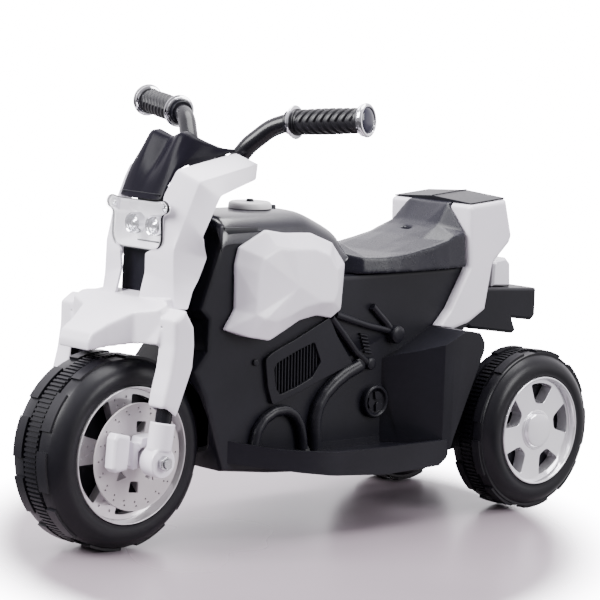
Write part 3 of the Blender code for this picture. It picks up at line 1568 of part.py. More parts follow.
def seat():
    """The hard black seat: a shell open below, with a raised back and a tail block."""
    base = SEAT_PLANE + GAP
    piece = seat_solid(0.0, base, 0.0, "seat", black_plastic())
    block = [
        aft(-0.0800, base + 0.0004),
        aft(-0.0740, 0.364),
        aft(-0.0670, 0.378),
        aft(-0.0600, 0.3815),
        aft(0.0030, 0.3855),
        aft(0.0060, 0.380),
        aft(0.0080, base + 0.0004),
    ]
    room = inset(block, WALL)
    room[0] = (room[0][0], 0.28)
    room[-1] = (room[-1][0], 0.28)
    join(piece, prism(block, "X", -0.0355, 0.0355))
    cut(piece, seat_solid(WALL, base, -0.02), prism(room, "X", -0.0355 + WALL, 0.0355 - WALL))
    for x in (-0.0327, 0.0297):
        join(piece, box((x, REAR_Y - 0.245, base + 0.0002), (x + 0.003, REAR_Y - 0.085, base + 0.0168)))
    cut(piece, box((-0.008, REAR_Y - 0.107, base + 0.030), (0.008, REAR_Y - 0.101, base + 0.060)))


TAIL_SIDE = [
    aft(-0.0635, 0.3760),
    aft(-0.0600, 0.3800),
    aft(0.0030, 0.3850),
    aft(0.0165, 0.3380),
    aft(0.0125, 0.3290),
    aft(-0.0165, 0.3040),
    aft(-0.0280, 0.2460),
    aft(-0.0570, 0.2310),
    aft(-0.1070, 0.2200),
    aft(-0.1320, 0.2130),
    aft(-0.0930, 0.2510),
    aft(-0.0610, 0.3020),
]


def tail():
    """The white tail panels, the black bracket behind them and the lamp on it."""
    outer = 0.0705
    panel = prism(TAIL_SIDE, "X", 0.0358, outer, "tail_panel_left", white_plastic(), 0.005, "high")
    cut(panel, prism(inset(TAIL_SIDE, WALL), "X", 0.0, outer - WALL))
    cut(panel, box((0.0, 0.0, 0.1), (CORE_HALF + GAP, 1.0, SEAT_PLANE + GAP)))
    cut(panel, prism(inset(GUARD_SIDE, -GAP), "X", CORE_HALF - 0.01, FOOT_X + 0.01))
    mirrored(panel, "tail_panel_right", white_plastic())

    outline = [
        aft(-0.045, 0.2310),
        aft(-0.028, 0.2190),
        aft(0.054, 0.2070),
        aft(0.060, 0.2110),
        aft(0.052, 0.2270),
        aft(0.089, 0.2220),
        aft(0.096, 0.2280),
        aft(0.096, BRACKET_TOP - 0.002),
        aft(-0.022, BRACKET_TOP + 0.005),
        aft(-0.045, BRACKET_TOP + 0.005),
    ]
    bracket = prism(outline, "X", -BRACKET_HALF, BRACKET_HALF, "tail_bracket", black_plastic(), 0.003, "both", 1)
    room = inset(outline, WALL)
    cut(bracket, prism(room, "X", -BRACKET_HALF + WALL, BRACKET_HALF - WALL))
    cut(bracket, prism(inset(CORE_OUTLINE, -GAP), "X", -0.1, 0.1))

    slope = (BRACKET_TOP + 0.005 - (BRACKET_TOP - 0.002)) / 0.118

    def seat_z(dy):
        return BRACKET_TOP + 0.005 - (dy + 0.022) * slope + GAP

    lamp_outline = [
        aft(0.023, seat_z(0.023)),
        aft(0.058, seat_z(0.058)),
        aft(0.056, 0.297),
        aft(0.047, 0.305),
        aft(0.029, 0.303),
        aft(0.024, 0.298),
    ]
    lamp = prism(lamp_outline, "X", -LAMP_HALF, LAMP_HALF, "tail_lamp", lamp_plastic(), 0.003, "both", 1)
    room = inset(lamp_outline, 0.002)
    room[0] = (room[0][0], 0.25)
    room[1] = (room[1][0], 0.25)
    cut(lamp, prism(room, "X", -LAMP_HALF + 0.002, LAMP_HALF - 0.002))


# Drive

def drive():
    """Battery, gearbox, motor and charging socket inside the body."""
    floor = BODY_BASE + WALL + GAP
    box((-0.035, REAR_Y - 0.262, floor), (0.035, REAR_Y - 0.162, floor + 0.070), "battery", battery_case(), 0.002)
    outline = [
        aft(-0.062, 0.05),
        aft(-0.062, 0.135),
        aft(-0.040, 0.158),
        aft(0.010, 0.150),
        aft(0.026, 0.120),
        aft(0.026, 0.05),
    ]
    case = prism(outline, "X", -GEARBOX_OUT, -GEARBOX_IN, "gearbox_case", grey_plastic())
    boolean(case, "INTERSECT", prism(inset(CORE_OUTLINE, WALL + GAP), "X", -0.1, 0.1))
    cut(case, axle_hole(REAR_Y, REAR_Z))
    turned(
        [
            (0.0, 0.048),
            (0.004, 0.048),
            (0.004, 0.046),
            (0.012, 0.046),
            (0.0135, 0.0445),
            (0.0135, GAP),
            (0.0, GAP),
        ],
        (-GEARBOX_IN, REAR_Y - 0.036, 0.134), (1.0, 0.0, 0.0), "drive_motor", steel(), closed=False, steps=24,
    )
    turned(
        [
            (0.0, -0.0085),
            (0.003, -0.0085),
            (0.003, 0.0015),
            (SOCKET_R + 0.003, 0.0015),
            (SOCKET_R + 0.003, GAP),
            (SOCKET_R, GAP),
            (SOCKET_R, -0.0105),
            (0.0, -0.0105),
        ],
        (-CORE_HALF, SOCKET_Y, SOCKET_Z), (-1.0, 0.0, 0.0), "charging_socket", black_plastic(),
        closed=False, steps=20,
    )


BODIES = {
    "steering": (
        STEER_BASE + STEER_UP * YOKE_LOW,
        "handlebar handlebar_clamp steering_column grip_left grip_right grip_ring_left grip_ring_right "
        "bar_end_left bar_end_right windshield_cowl fairing_left fairing_right headlight_reflector "
        "headlight_lens front_fender fork_yoke fork_stanchion_left fork_stanchion_right fork_slider_left "
        "fork_slider_right brake_caliper_left brake_caliper_right front_axle front_axle_nut_left "
        "front_axle_nut_right",
    ),
    "front_wheel": (
        Vector((0.0, FRONT_Y, FRONT_Z)),
        "front_tyre front_rim_left front_rim_right front_disc_left front_disc_right",
    ),
    "rear_wheel_left": (
        Vector((REAR_WHEEL_X, REAR_Y, REAR_Z)), "rear_tyre_left rear_rim_left hub_cap_left",
    ),
    "rear_wheel_right": (
        Vector((-REAR_WHEEL_X, REAR_Y, REAR_Z)), "rear_tyre_right rear_rim_right hub_cap_right drive_coupling",
    ),
    "pedal": (Vector((-PEDAL_X, PEDAL_Y, PEDAL_Z)), "foot_pedal"),
    "rocker": (slope_frame()[0] - slope_frame()[2] * ROCKER_DEPTH, "power_rocker"),
    "music_key": (Vector((0.0, CAP_Y, TANK_TOP)), "music_button"),
    "horn_key": (Vector((0.0, HORN_Y, TANK_TOP)), "horn_button"),
}


def add_pivots():
    """Hangs every moving group from an empty on its joint axis."""
    bpy.context.view_layer.update()
    made = {}
    for name, (spot, members) in BODIES.items():
        pivot = bpy.data.objects.new(f"{name}_pivot", None)
        pivot.empty_display_size = 0.02
        pivot.location = spot
        PARTS.objects.link(pivot)
        made[name] = (pivot, members.split())
    bpy.context.view_layer.update()
    for pivot, members in made.values():
        for member in members:
            obj = bpy.data.objects[member]
            obj.parent = pivot
            obj.matrix_parent_inverse = pivot.matrix_world.inverted()
    wheel = made["front_wheel"][0]
    wheel.parent = made["steering"][0]
    wheel.matrix_parent_inverse = made["steering"][0].matrix_world.inverted()


def fix_facets():
    """Settles every piece's faces into triangles, so that each export reads the same shape."""
    for obj in PARTS.objects:
        if obj.type == "MESH" and obj.modifiers:
            obj.modifiers.new("facets", "TRIANGULATE")


def main():
    start_file()
    front_wheel()
    rear_wheels()
    body_shells()
    pedal()
    fork()
    fender()
    steering_column()
    handlebar()
    fairings()
    cowl()
    headlight()
    tank_top()
    tank_panels()
    seat()
    tail()
    drive()
    fix_facets()
    add_pivots()


main()
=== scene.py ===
"""Looks for a kids ride-on motorcycle: bodywork, wheels, controls, floor, lights and camera.

Metres. The rider's left is +X, the front faces -Y and +Z is up. Side outlines are (y, z) points,
placed from the front axle with fore() and from the rear axle with aft().
"""
import json
import math

import bmesh
import bpy
from mathutils import Matrix, Vector


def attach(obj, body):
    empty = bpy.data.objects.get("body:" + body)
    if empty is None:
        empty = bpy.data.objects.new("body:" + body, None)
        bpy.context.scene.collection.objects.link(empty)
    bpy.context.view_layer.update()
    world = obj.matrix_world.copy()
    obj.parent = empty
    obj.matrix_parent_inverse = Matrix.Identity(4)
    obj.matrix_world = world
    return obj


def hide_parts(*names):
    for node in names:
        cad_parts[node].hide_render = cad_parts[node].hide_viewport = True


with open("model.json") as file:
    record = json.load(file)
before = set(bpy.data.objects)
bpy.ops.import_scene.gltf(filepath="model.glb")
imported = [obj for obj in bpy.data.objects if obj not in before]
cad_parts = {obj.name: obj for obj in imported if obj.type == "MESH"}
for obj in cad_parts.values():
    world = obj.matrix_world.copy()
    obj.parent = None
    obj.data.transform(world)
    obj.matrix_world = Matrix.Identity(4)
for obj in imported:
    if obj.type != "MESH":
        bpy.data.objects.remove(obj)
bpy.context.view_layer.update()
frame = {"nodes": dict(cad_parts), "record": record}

# Main sizes of the motorcycle
FRONT_Y = -0.28475
FRONT_Z = 0.1125
REAR_Y = 0.29675
REAR_Z = 0.1005
REAR_X = 0.1107
STEER_RAKE = math.radians(23.0)
BAR_HEIGHT = 0.351
BAR_R = 0.0106
BAR_BEND = 0.06
GRIP_IN_X = 0.0985
GRIP_OUT_X = 0.1915
GRIP_END = 0.0053
RIB_PITCH = 0.0094
CORE_X = 0.058
TANK_TOP = 0.382
RELIEF_IN = 0.0583
RELIEF_OUT = 0.0668
SHELF_TOP = 0.1005
GUARD_DY = 0.412
TAIL_TOP_X = 0.0668
RIDGE_RISE = 0.0045
LUG_CYCLE = 24
LUG_RAISED = 16
SLAT_H = 0.0019
LUG_H = 0.0029
SPOKE_COUNT = 5
FLAT_ANGLE = math.radians(1.2)
SIDE = Vector((1.0, 0.0, 0.0))
STEER_UP = Vector((0.0, math.sin(STEER_RAKE), math.cos(STEER_RAKE)))
STEER_BASE = Vector((0.0, FRONT_Y + 0.012, FRONT_Z))
SIDES = ((1, "left"), (-1, "right"))

# The patch of floor that shows: half its width, its middle towards the camera and half its depth
POOL_HALF = 0.44
POOL_NEAR = 0.1
POOL_DEEP = 0.62
# How bright the white behind the motorcycle is, and the camera's focal length
BACKDROP = 18.0
FOCAL = 161.207


def fore(dy, z):
    """A side point placed from the front axle."""
    return (FRONT_Y + dy, z)


def aft(dy, z):
    """A side point placed from the rear axle."""
    return (REAR_Y + dy, z)


# Finishes

class Signal:
    """A shader output that takes part in Python sums."""

    def __init__(self, finish, socket):
        self.finish = finish
        self.socket = socket

    def __add__(self, other):
        return self.finish.sum("ADD", self, other)

    __radd__ = __add__

    def __sub__(self, other):
        return self.finish.sum("SUBTRACT", self, other)

    def __rsub__(self, other):
        return self.finish.sum("SUBTRACT", other, self)

    def __mul__(self, other):
        return self.finish.sum("MULTIPLY", self, other)

    __rmul__ = __mul__

    def __truediv__(self, other):
        return self.finish.sum("DIVIDE", self, other)

    def __pow__(self, other):
        return self.finish.sum("POWER", self, other)


class Graph:
    """A node tree with one method that adds any node."""

    def __init__(self, tree):
        self.nodes = tree.nodes
        self.links = tree.links

    def node(self, kind, settings=None, inputs=None, out=0):
        """Adds a node: its settings first, then the values or links of its sockets."""
        made = self.nodes.new(kind)
        for name, value in (settings or {}).items():
            setattr(made, name, value)
        for key, value in (inputs or {}).items():
            self.feed(made.inputs[key], value)
        return Signal(self, made.outputs[out])

    def feed(self, socket, value):
        if isinstance(value, Signal):
            self.links.new(value.socket, socket)
        elif socket.type == "RGBA" and len(value) == 3:
            socket.default_value = (*value, 1.0)
        else:
            socket.default_value = value

    def sum(self, operation, *values):
        return self.node("ShaderNodeMath", {"operation": operation}, dict(enumerate(values)))

    def along(self, vector, direction):
        """How far a vector signal reaches in a direction."""
        return self.node("ShaderNodeVectorMath", {"operation": "DOT_PRODUCT"}, {0: vector, 1: direction}, out="Value")

    def between(self, signal, low, high, to_low=0.0, to_high=1.0):
        """The signal's range from low to high spread over another range."""
        return self.node(
            "ShaderNodeMapRange", {"interpolation_type": "SMOOTHSTEP"},
            {"Value": signal, 1: low, 2: high, 3: to_low, 4: to_high},
        )

    def tint(self, share, first, second):
        """A colour that runs from first to second as share goes from 0 to 1."""
        return self.node("ShaderNodeMix", {"data_type": "RGBA"}, {0: share, 6: first, 7: second}, out=2)


class Finish(Graph):
    """One material: its shader, and the nodes that vary it over a surface."""

    def __init__(self, slot, **fixed):
        self.slot = slot
        self.material = bpy.data.materials.new(slot)
        self.material.use_nodes = True
        super().__init__(self.material.node_tree)
        self.shader = self.nodes["Principled BSDF"]
        for name, value in fixed.items():
            self.set(name.replace("_", " "), value)

    def set(self, name, value):
        self.feed(self.shader.inputs[name], value)

    def place(self):
        """Where a point of the surface is, in metres."""
        return self.node("ShaderNodeTexCoord", out="Object")

    def grain(self, scale, detail=3.0, rough=0.55):
        """Noise with features about 1 / scale metres wide."""
        return self.node(
            "ShaderNodeTexNoise", None,
            {"Vector": self.place(), "Scale": scale, "Detail": detail, "Roughness": rough},
        )

    def relief(self, height, depth):
        """Surface relief from a height signal, depth in metres."""
        self.set("Normal", self.node("ShaderNodeBump", None, {"Height": height, "Distance": depth}))


def moulded(slot, low, high, rough, spread, depth, coat=0.0, gloss=0.5, skin=None, metal=0.0):
    """Injection-moulded plastic: a fine skin grain and faint clouds in its colour and gloss."""
    finish = Finish(slot, Metallic=metal, Coat_Weight=coat, Coat_Roughness=0.12, Specular_IOR_Level=gloss)
    clouds = finish.grain(9.0)
    fine = finish.grain(1400.0, 2.0)
    soft = finish.grain(190.0, 2.0)
    finish.set("Base Color", finish.tint(finish.between(clouds, 0.3, 0.7), low, high))
    finish.set("Roughness", rough + (clouds - 0.5) * spread + (soft - 0.5) * spread * 0.6)
    height = fine * 0.35 + soft
    if skin:
        cells = finish.node(
            "ShaderNodeTexVoronoi", {"feature": "DISTANCE_TO_EDGE"}, {"Vector": finish.place(), "Scale": skin}
        )
        height = height * 0.5 + finish.between(cells, 0.0, 0.12)
    finish.relief(height, depth)
    return finish


def metallised(slot, low, high, rough, spread, depth):
    """Bright metal or metallised plastic with faint smears and waves."""
    finish = Finish(slot, Metallic=1.0)
    smears = finish.grain(26.0, 4.0)
    finish.set("Base Color", finish.tint(finish.between(smears, 0.35, 0.75), high, low))
    finish.set("Roughness", rough + finish.between(smears, 0.4, 0.8) * spread)
    finish.relief(finish.grain(60.0, 1.0), depth)
    return finish


WHITE = moulded("white_plastic", (0.7, 0.665, 0.74), (0.76, 0.725, 0.795), 0.24, 0.1, 0.00005, 0.2)
BLACK = moulded("black_plastic", (0.0042, 0.0041, 0.0066), (0.0064, 0.0063, 0.0098), 0.36, 0.14, 0.00007, gloss=0.2)
# The softer black of the cowl
SATIN = moulded("black_plastic", (0.0048, 0.0043, 0.0072), (0.0068, 0.0061, 0.0098), 0.26, 0.1, 0.00003, gloss=0.04)
# The glossy black of the tank top, which shows a broad sheen
TANK = moulded("black_plastic", (0.005, 0.0048, 0.0092), (0.0072, 0.0069, 0.013), 0.22, 0.08, 0.00002, 0.3)
# The near-mirror black of the bar ends
GLOSS = moulded("black_plastic", (0.012, 0.0115, 0.024), (0.018, 0.017, 0.034), 0.1, 0.05, 0.00001, 0.2, 0.3)
# Black plastic with a leather-like skin
SEAT = moulded("black_plastic", (0.005, 0.0048, 0.0092), (0.007, 0.0067, 0.0126), 0.27, 0.08, 0.00003,
               gloss=0.26, skin=520.0)
# The dull black of hard blown plastic
TYRE = moulded("tyre_plastic", (0.004, 0.0038, 0.0056), (0.0062, 0.0059, 0.0082), 0.34, 0.16, 0.00007, gloss=0.22)
CHROME = metallised("chrome", (0.66, 0.66, 0.7), (0.86, 0.86, 0.89), 0.06, 0.08, 0.00012)
# The mirror finish of the rear rims, which has white under its shine
BRIGHT = moulded("chrome", (0.8, 0.785, 0.83), (0.9, 0.885, 0.92), 0.09, 0.05, 0.00002, metal=0.72)
# The bright inside of the headlight, a pale mirror with a faint painted glow that brightens it beyond what the lights
# give
DISH = moulded("chrome", (0.88, 0.86, 0.9), (0.95, 0.93, 0.97), 0.14, 0.05, 0.00002, metal=0.15)
DISH.set("Emission Color", (1.0, 0.99, 1.0, 1.0))
DISH.set("Emission Strength", 0.3)
# The front rims, part mirror and part white
SILVER = moulded("chrome", (0.66, 0.635, 0.66), (0.76, 0.735, 0.76), 0.17, 0.06, 0.00003, metal=0.55)
# The greyer silver of the brake discs
DISC = moulded("white_plastic", (0.36, 0.33, 0.345), (0.43, 0.4, 0.415), 0.3, 0.1, 0.00004, 0.25)
STEEL = metallised("steel", (0.38, 0.38, 0.4), (0.56, 0.56, 0.58), 0.24, 0.16, 0.00004)
# Powder-coated tube with a very fine orange peel
BLACK_STEEL = moulded("black_steel", (0.0045, 0.0043, 0.0062), (0.007, 0.0067, 0.0092), 0.27, 0.1, 0.00004,
                      0.1, 0.22)
RUBBER = moulded("grip_rubber", (0.005, 0.0047, 0.007), (0.0085, 0.008, 0.011), 0.42, 0.16, 0.00006, gloss=0.3)
CLEAR = Finish("clear_plastic", Roughness=0.04, Base_Color=(0.62, 0.62, 0.65, 1.0), Coat_Weight=1.0,
               Coat_Roughness=0.02)
CLEAR.set("Alpha", 0.05 + CLEAR.node("ShaderNodeLayerWeight", None, {"Blend": 0.35}, out="Facing") * 0.26)
# The milky plastic of the rear lamp
LAMP = moulded("lamp_plastic", (0.66, 0.64, 0.7), (0.76, 0.74, 0.8), 0.16, 0.06, 0.00004, 0.6)
GREEN = moulded("green_plastic", (0.012, 0.22, 0.105), (0.02, 0.3, 0.15), 0.28, 0.1, 0.00005, 0.2)
GREY = moulded("grey_plastic", (0.46, 0.45, 0.46), (0.54, 0.53, 0.54), 0.34, 0.1, 0.00006)
CASE = moulded("battery_case", (0.1, 0.1, 0.12), (0.14, 0.14, 0.16), 0.5, 0.1, 0.00008)


# Shaping

BODY_OF = {
    node: body for body, nodes in frame["record"]["behaviour"]["bodies"].items() for node in nodes
}


def meshed(bm, name):
    """A mesh from a bmesh."""
    mesh = bpy.data.meshes.new(name)
    bm.to_mesh(mesh)
    bm.free()
    return mesh


def placed(name, data):
    """A new object in the scene."""
    obj = bpy.data.objects.new(name, data)
    bpy.context.scene.collection.objects.link(obj)
    return obj


def done(bm, name, finish, *nodes, body=None, outward=True, sharp=32.0):
    """Makes a bmesh a piece of the motorcycle, in place of its CAD nodes."""
    if outward:
        bmesh.ops.recalc_face_normals(bm, faces=bm.faces)
    mesh = meshed(bm, name)
    mesh.shade_smooth()
    if sharp:
        mesh.set_sharp_from_angle(angle=math.radians(sharp))
    obj = placed(name, mesh)
    mesh.materials.append(finish.material)
    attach(obj, body or BODY_OF[nodes[0]])
    if nodes:
        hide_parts(*nodes)
    return obj


def modified(obj, kind, **settings):
    """Adds a modifier to a piece."""
    modifier = obj.modifiers.new(kind.lower(), kind)
    for name, value in settings.items():
        setattr(modifier, name, value)
    return obj


def rounded(obj, width, segments, angle=28.0):
    """Rounds a piece's sharp edges and keeps its broad faces flat."""
    modified(obj, "BEVEL", width=width, segments=segments, limit_method="ANGLE", angle_limit=math.radians(angle))
    return modified(obj, "WEIGHTED_NORMAL", keep_sharp=False)


def walled(obj, thickness):
    return modified(obj, "SOLIDIFY", thickness=thickness, offset=-1.0, use_even_offset=True)


def shell(obj, thickness, levels, edge):
    """Smooths a sheet and gives it a wall with eased rims."""
    modified(obj, "SUBSURF", levels=levels, render_levels=levels)
    return rounded(walled(obj, thickness), edge, 2, 60.0)


def merged_copy(node):
    """A CAD node's mesh with its loose triangles joined into whole faces."""
    bm = bmesh.new()
    bm.from_mesh(frame["nodes"][node].data)
    bmesh.ops.remove_doubles(bm, verts=bm.verts, dist=2e-5)
    bmesh.ops.dissolve_limit(bm, angle_limit=FLAT_ANGLE, verts=bm.verts, edges=bm.edges)
    return bm


def softened(node, name, finish, width, segments):
    """A CAD node's shape with rounded edges."""
    obj = done(merged_copy(node), name, finish, node, outward=False, sharp=0.0)
    return rounded(obj, width, segments)


def moulding(node, name, finish, grain, passes):
    """A CAD node's shape with every edge eased, as a soft moulding has them."""
    working = placed("working", meshed(merged_copy(node), "working"))
    modified(working, "REMESH", mode="VOXEL", voxel_size=grain)
    modified(working, "SMOOTH", factor=0.5, iterations=passes)
    bm = bmesh.new()
    bm.from_object(working, bpy.context.evaluated_depsgraph_get())
    mesh = working.data
    bpy.data.objects.remove(working)
    bpy.data.meshes.remove(mesh)
    return done(bm, name, finish, node, outward=False, sharp=0.0)


def aim(bm, centre, axis):
    """Turns a shape made about +Z to an axis and moves it to its centre."""
    turn = Vector(axis).to_track_quat("Z", "Y").to_matrix().to_4x4()
    bmesh.ops.transform(bm, matrix=Matrix.Translation(centre) @ turn, verts=bm.verts)
    return bm


def turned(profile, centre, axis, steps, closed=True):
    """A profile of (radius, height) points spun about an axis."""
    bm = bmesh.new()
    points = [bm.verts.new((radius, 0.0, height)) for radius, height in profile]
    pairs = list(zip(points, points[1:]))
    if closed:
        pairs.append((points[-1], points[0]))
    lines = [bm.edges.new(pair) for pair in pairs]
    bmesh.ops.spin(
        bm, geom=points + lines, cent=(0.0, 0.0, 0.0), axis=(0.0, 0.0, 1.0), angle=math.tau, steps=steps,
        use_merge=True,
    )
    bmesh.ops.remove_doubles(bm, verts=bm.verts, dist=1e-6)
    return aim(bm, centre, axis)


def eased(outline, radius, steps=4):
    """A closed outline with rounded corners."""
    corners = [Vector(point) for point in outline]
    result = []
    for before, here, after in zip(corners[-1:] + corners[:-1], corners, corners[1:] + corners[:1]):
        first = before - here
        second = after - here
        reach = min(radius, first.length * 0.48, second.length * 0.48)
        start = here + first.normalized() * reach
        end = here + second.normalized() * reach
        for k in range(steps + 1):
            t = k / steps
            result.append(start * (1 - t) ** 2 + here * (2 * t * (1 - t)) + end * t * t)
    return result


def polar(radius, turn):
    """A point at a radius, turned from straight up."""
    return (radius * math.sin(turn), radius * math.cos(turn))


def ring_outline(radius, count, centre=(0.0, 0.0)):
    spots = [polar(radius, math.tau * k / count) for k in range(count)]
    return [Vector((centre[0] + x, centre[1] + y)) for x, y in spots]


def loop(bm, points):
    """A closed line of edges through points."""
    spots = [bm.verts.new(point) for point in points]
    return [bm.edges.new((spots[k - 1], spots[k])) for k in range(len(spots))]


def pressed(bm, outlines, low, high, spot):
    """Adds a flat plate between low and high: the first outline is its edge, the rest its holes.
    spot gives the space point for an outline point at a depth."""
    lines = [edge for outline in outlines for edge in loop(bm, [spot(point, low) for point in outline])]
    filled = bmesh.ops.triangle_fill(bm, edges=lines, use_beauty=True, use_dissolve=True)
    faces = [item for item in filled["geom"] if isinstance(item, bmesh.types.BMFace)]
    shift = Vector(spot((0.0, 0.0), high)) - Vector(spot((0.0, 0.0), low))
    pulled = bmesh.ops.extrude_face_region(bm, geom=faces)
    moved = [item for item in pulled["geom"] if isinstance(item, bmesh.types.BMVert)]
    bmesh.ops.translate(bm, verts=moved, vec=shift)
    return bm


def side_plate(outline, low, high, *holes):
    """A plate across X from (y, z) outlines."""
    return pressed(bmesh.new(), [outline, *holes], low, high, lambda point, x: (x, point[0], point[1]))


def wheel_plate(outlines, low, high, centre, side):
    """A plate square to an axle from outlines about its centre."""
    return pressed(
        bmesh.new(), outlines, low, high,
        lambda point, x: (centre[0] + side * x, centre[1] + point[0], centre[2] + point[1]),
    )


def bar_along(points, radius, sides):
    """A round bar through points, its rings bridged one to the next."""
    bm = bmesh.new()
    rings = []
    turn = None
    for k, point in enumerate(points):
        ahead = points[min(k + 1, len(points) - 1)] - points[max(k - 1, 0)]
        wanted = ahead.normalized()
        if turn is None:
            turn = wanted.to_track_quat("Z", "Y")
        else:
            turn = (turn @ Vector((0.0, 0.0, 1.0))).rotation_difference(wanted) @ turn
        matrix = Matrix.Translation(point) @ turn.to_matrix().to_4x4()
        made = bmesh.ops.create_circle(bm, segments=sides, radius=radius, matrix=matrix)
        rings.append(list({edge for vert in made["verts"] for edge in vert.link_edges}))
    for first, second in zip(rings, rings[1:]):
        bmesh.ops.bridge_loops(bm, edges=first + second)
    for end in (rings[0], rings[-1]):
        bmesh.ops.edgeloop_fill(bm, edges=end)
    return bm


def together(*parts):
    """One bmesh from several."""
    whole = parts[0]
    for part in parts[1:]:
        mesh = meshed(part, "joined")
        whole.from_mesh(mesh)
        bpy.data.meshes.remove(mesh)
    return whole


def chain(bm, points):
    """A line of edges through points."""
    spots = [bm.verts.new(point) for point in points]
    return [bm.edges.new(pair) for pair in zip(spots, spots[1:])]


def skin(lines, outward, cuts, sharp_lines=()):
    """A sheet through equal lines of points, its front towards outward."""
    bm = bmesh.new()
    crease = bm.edges.layers.float.new("crease_edge")
    chains = [chain(bm, line) for line in lines]
    for index, amount in sharp_lines:
        for edge in chains[index]:
            edge[crease] = amount
    for first, second in zip(chains, chains[1:]):
        bmesh.ops.bridge_loops(bm, edges=first + second)
    if cuts:
        bmesh.ops.subdivide_edges(bm, edges=bm.edges, cuts=cuts, use_grid_fill=True)
    return faced(bm, outward)


def faced(bm, outward):
    """Turns an open sheet's faces so that most of them look outward."""
    bmesh.ops.recalc_face_normals(bm, faces=bm.faces)
    lean = sum((face.normal * face.calc_area() for face in bm.faces), Vector()).dot(Vector(outward))
    if lean < 0:
        bmesh.ops.reverse_faces(bm, faces=bm.faces)
    return bm


# Wheels

def tyre(name, node, centre, radius, half, tread_half, rim_r, steps):
    """A moulded tyre: smooth walls, slats round the middle and stepped lugs on both shoulders."""
    tread = radius - 0.003
    lip = rim_r + 0.0003
    rise = tread - lip
    groove = tread_half * 0.4
    outer = [
        (lip, half - 0.0022), (lip + 0.0012, half - 0.0006), (lip + rise * 0.12, half - 0.001),
        (lip + rise * 0.2, half - 0.0002), (lip + rise * 0.34, half), (lip + rise * 0.48, half - 0.0006),
        (lip + rise * 0.62, half - 0.0025), (lip + rise * 0.76, half - 0.006), (lip + rise * 0.88, half - 0.0105),
        (tread - 0.0008, tread_half + 0.0012), (tread, tread_half - 0.0006), (tread + 0.0002, groove + 0.0016),
        (tread - 0.0022, groove + 0.0008), (tread - 0.0022, groove - 0.0008), (tread + 0.0002, groove - 0.0016),
        (tread + 0.0004, 0.0005),
    ]
    inner = [(lip + rise * 0.75, half - 0.012), (lip + rise * 0.35, half - 0.005), (lip, half - 0.005)]
    section = outer + [(r, -x) for r, x in outer[::-1]] + [(r, -x) for r, x in inner[::-1]] + inner
    bm = bmesh.new()
    lines = loop(bm, [(x, 0.0, r) for r, x in section])
    bmesh.ops.spin(
        bm, geom=bm.verts[:] + lines, axis=(1.0, 0.0, 0.0), cent=(0.0, 0.0, 0.0), angle=math.tau, steps=steps,
        use_merge=True,
    )
    bmesh.ops.recalc_face_normals(bm, faces=bm.faces)
    slats = []
    lugs = []
    for face in bm.faces:
        middle = face.calc_center_median()
        if middle.yz.length < tread - 0.0006:
            continue
        turn = int(round(math.atan2(middle.y, middle.z) / math.tau * steps - 0.5)) % steps
        if abs(middle.x) < groove - 0.0014:
            if turn % 2:
                slats.append(face)
        elif groove + 0.0014 < abs(middle.x) < tread_half:
            if (turn + (LUG_CYCLE // 2 if middle.x < 0 else 0)) % LUG_CYCLE < LUG_RAISED:
                lugs.append(face)
    for faces, height in ((slats, SLAT_H), (lugs, LUG_H)):
        pulled = bmesh.ops.extrude_face_region(bm, geom=faces)
        for item in pulled["geom"]:
            if isinstance(item, bmesh.types.BMVert):
                away = item.co.yz.normalized() * height
                item.co += Vector((0.0, away.x, away.y))
        bmesh.ops.delete(bm, geom=faces, context="FACES")
    bmesh.ops.translate(bm, verts=bm.verts, vec=centre)
    return done(bm, name, TYRE, node, sharp=30.0)


def rim_windows(r_in, r_out, first, half_in, half_out, ease):
    """The windows between a rim's spokes. The angles are in degrees."""
    outlines = []
    for k in range(SPOKE_COUNT):
        middle, near, far = (math.radians(angle) for angle in (first + 72.0 * k, half_in, half_out))
        edge = [(r_in, middle - near), (r_out, middle - far)]
        edge += [(r_out, middle - far + far * 2 * j / 6) for j in range(1, 6)]
        edge += [(r_out, middle + far), (r_in, middle + near)]
        outlines.append(eased([polar(r, a) for r, a in edge], ease))
    return outlines


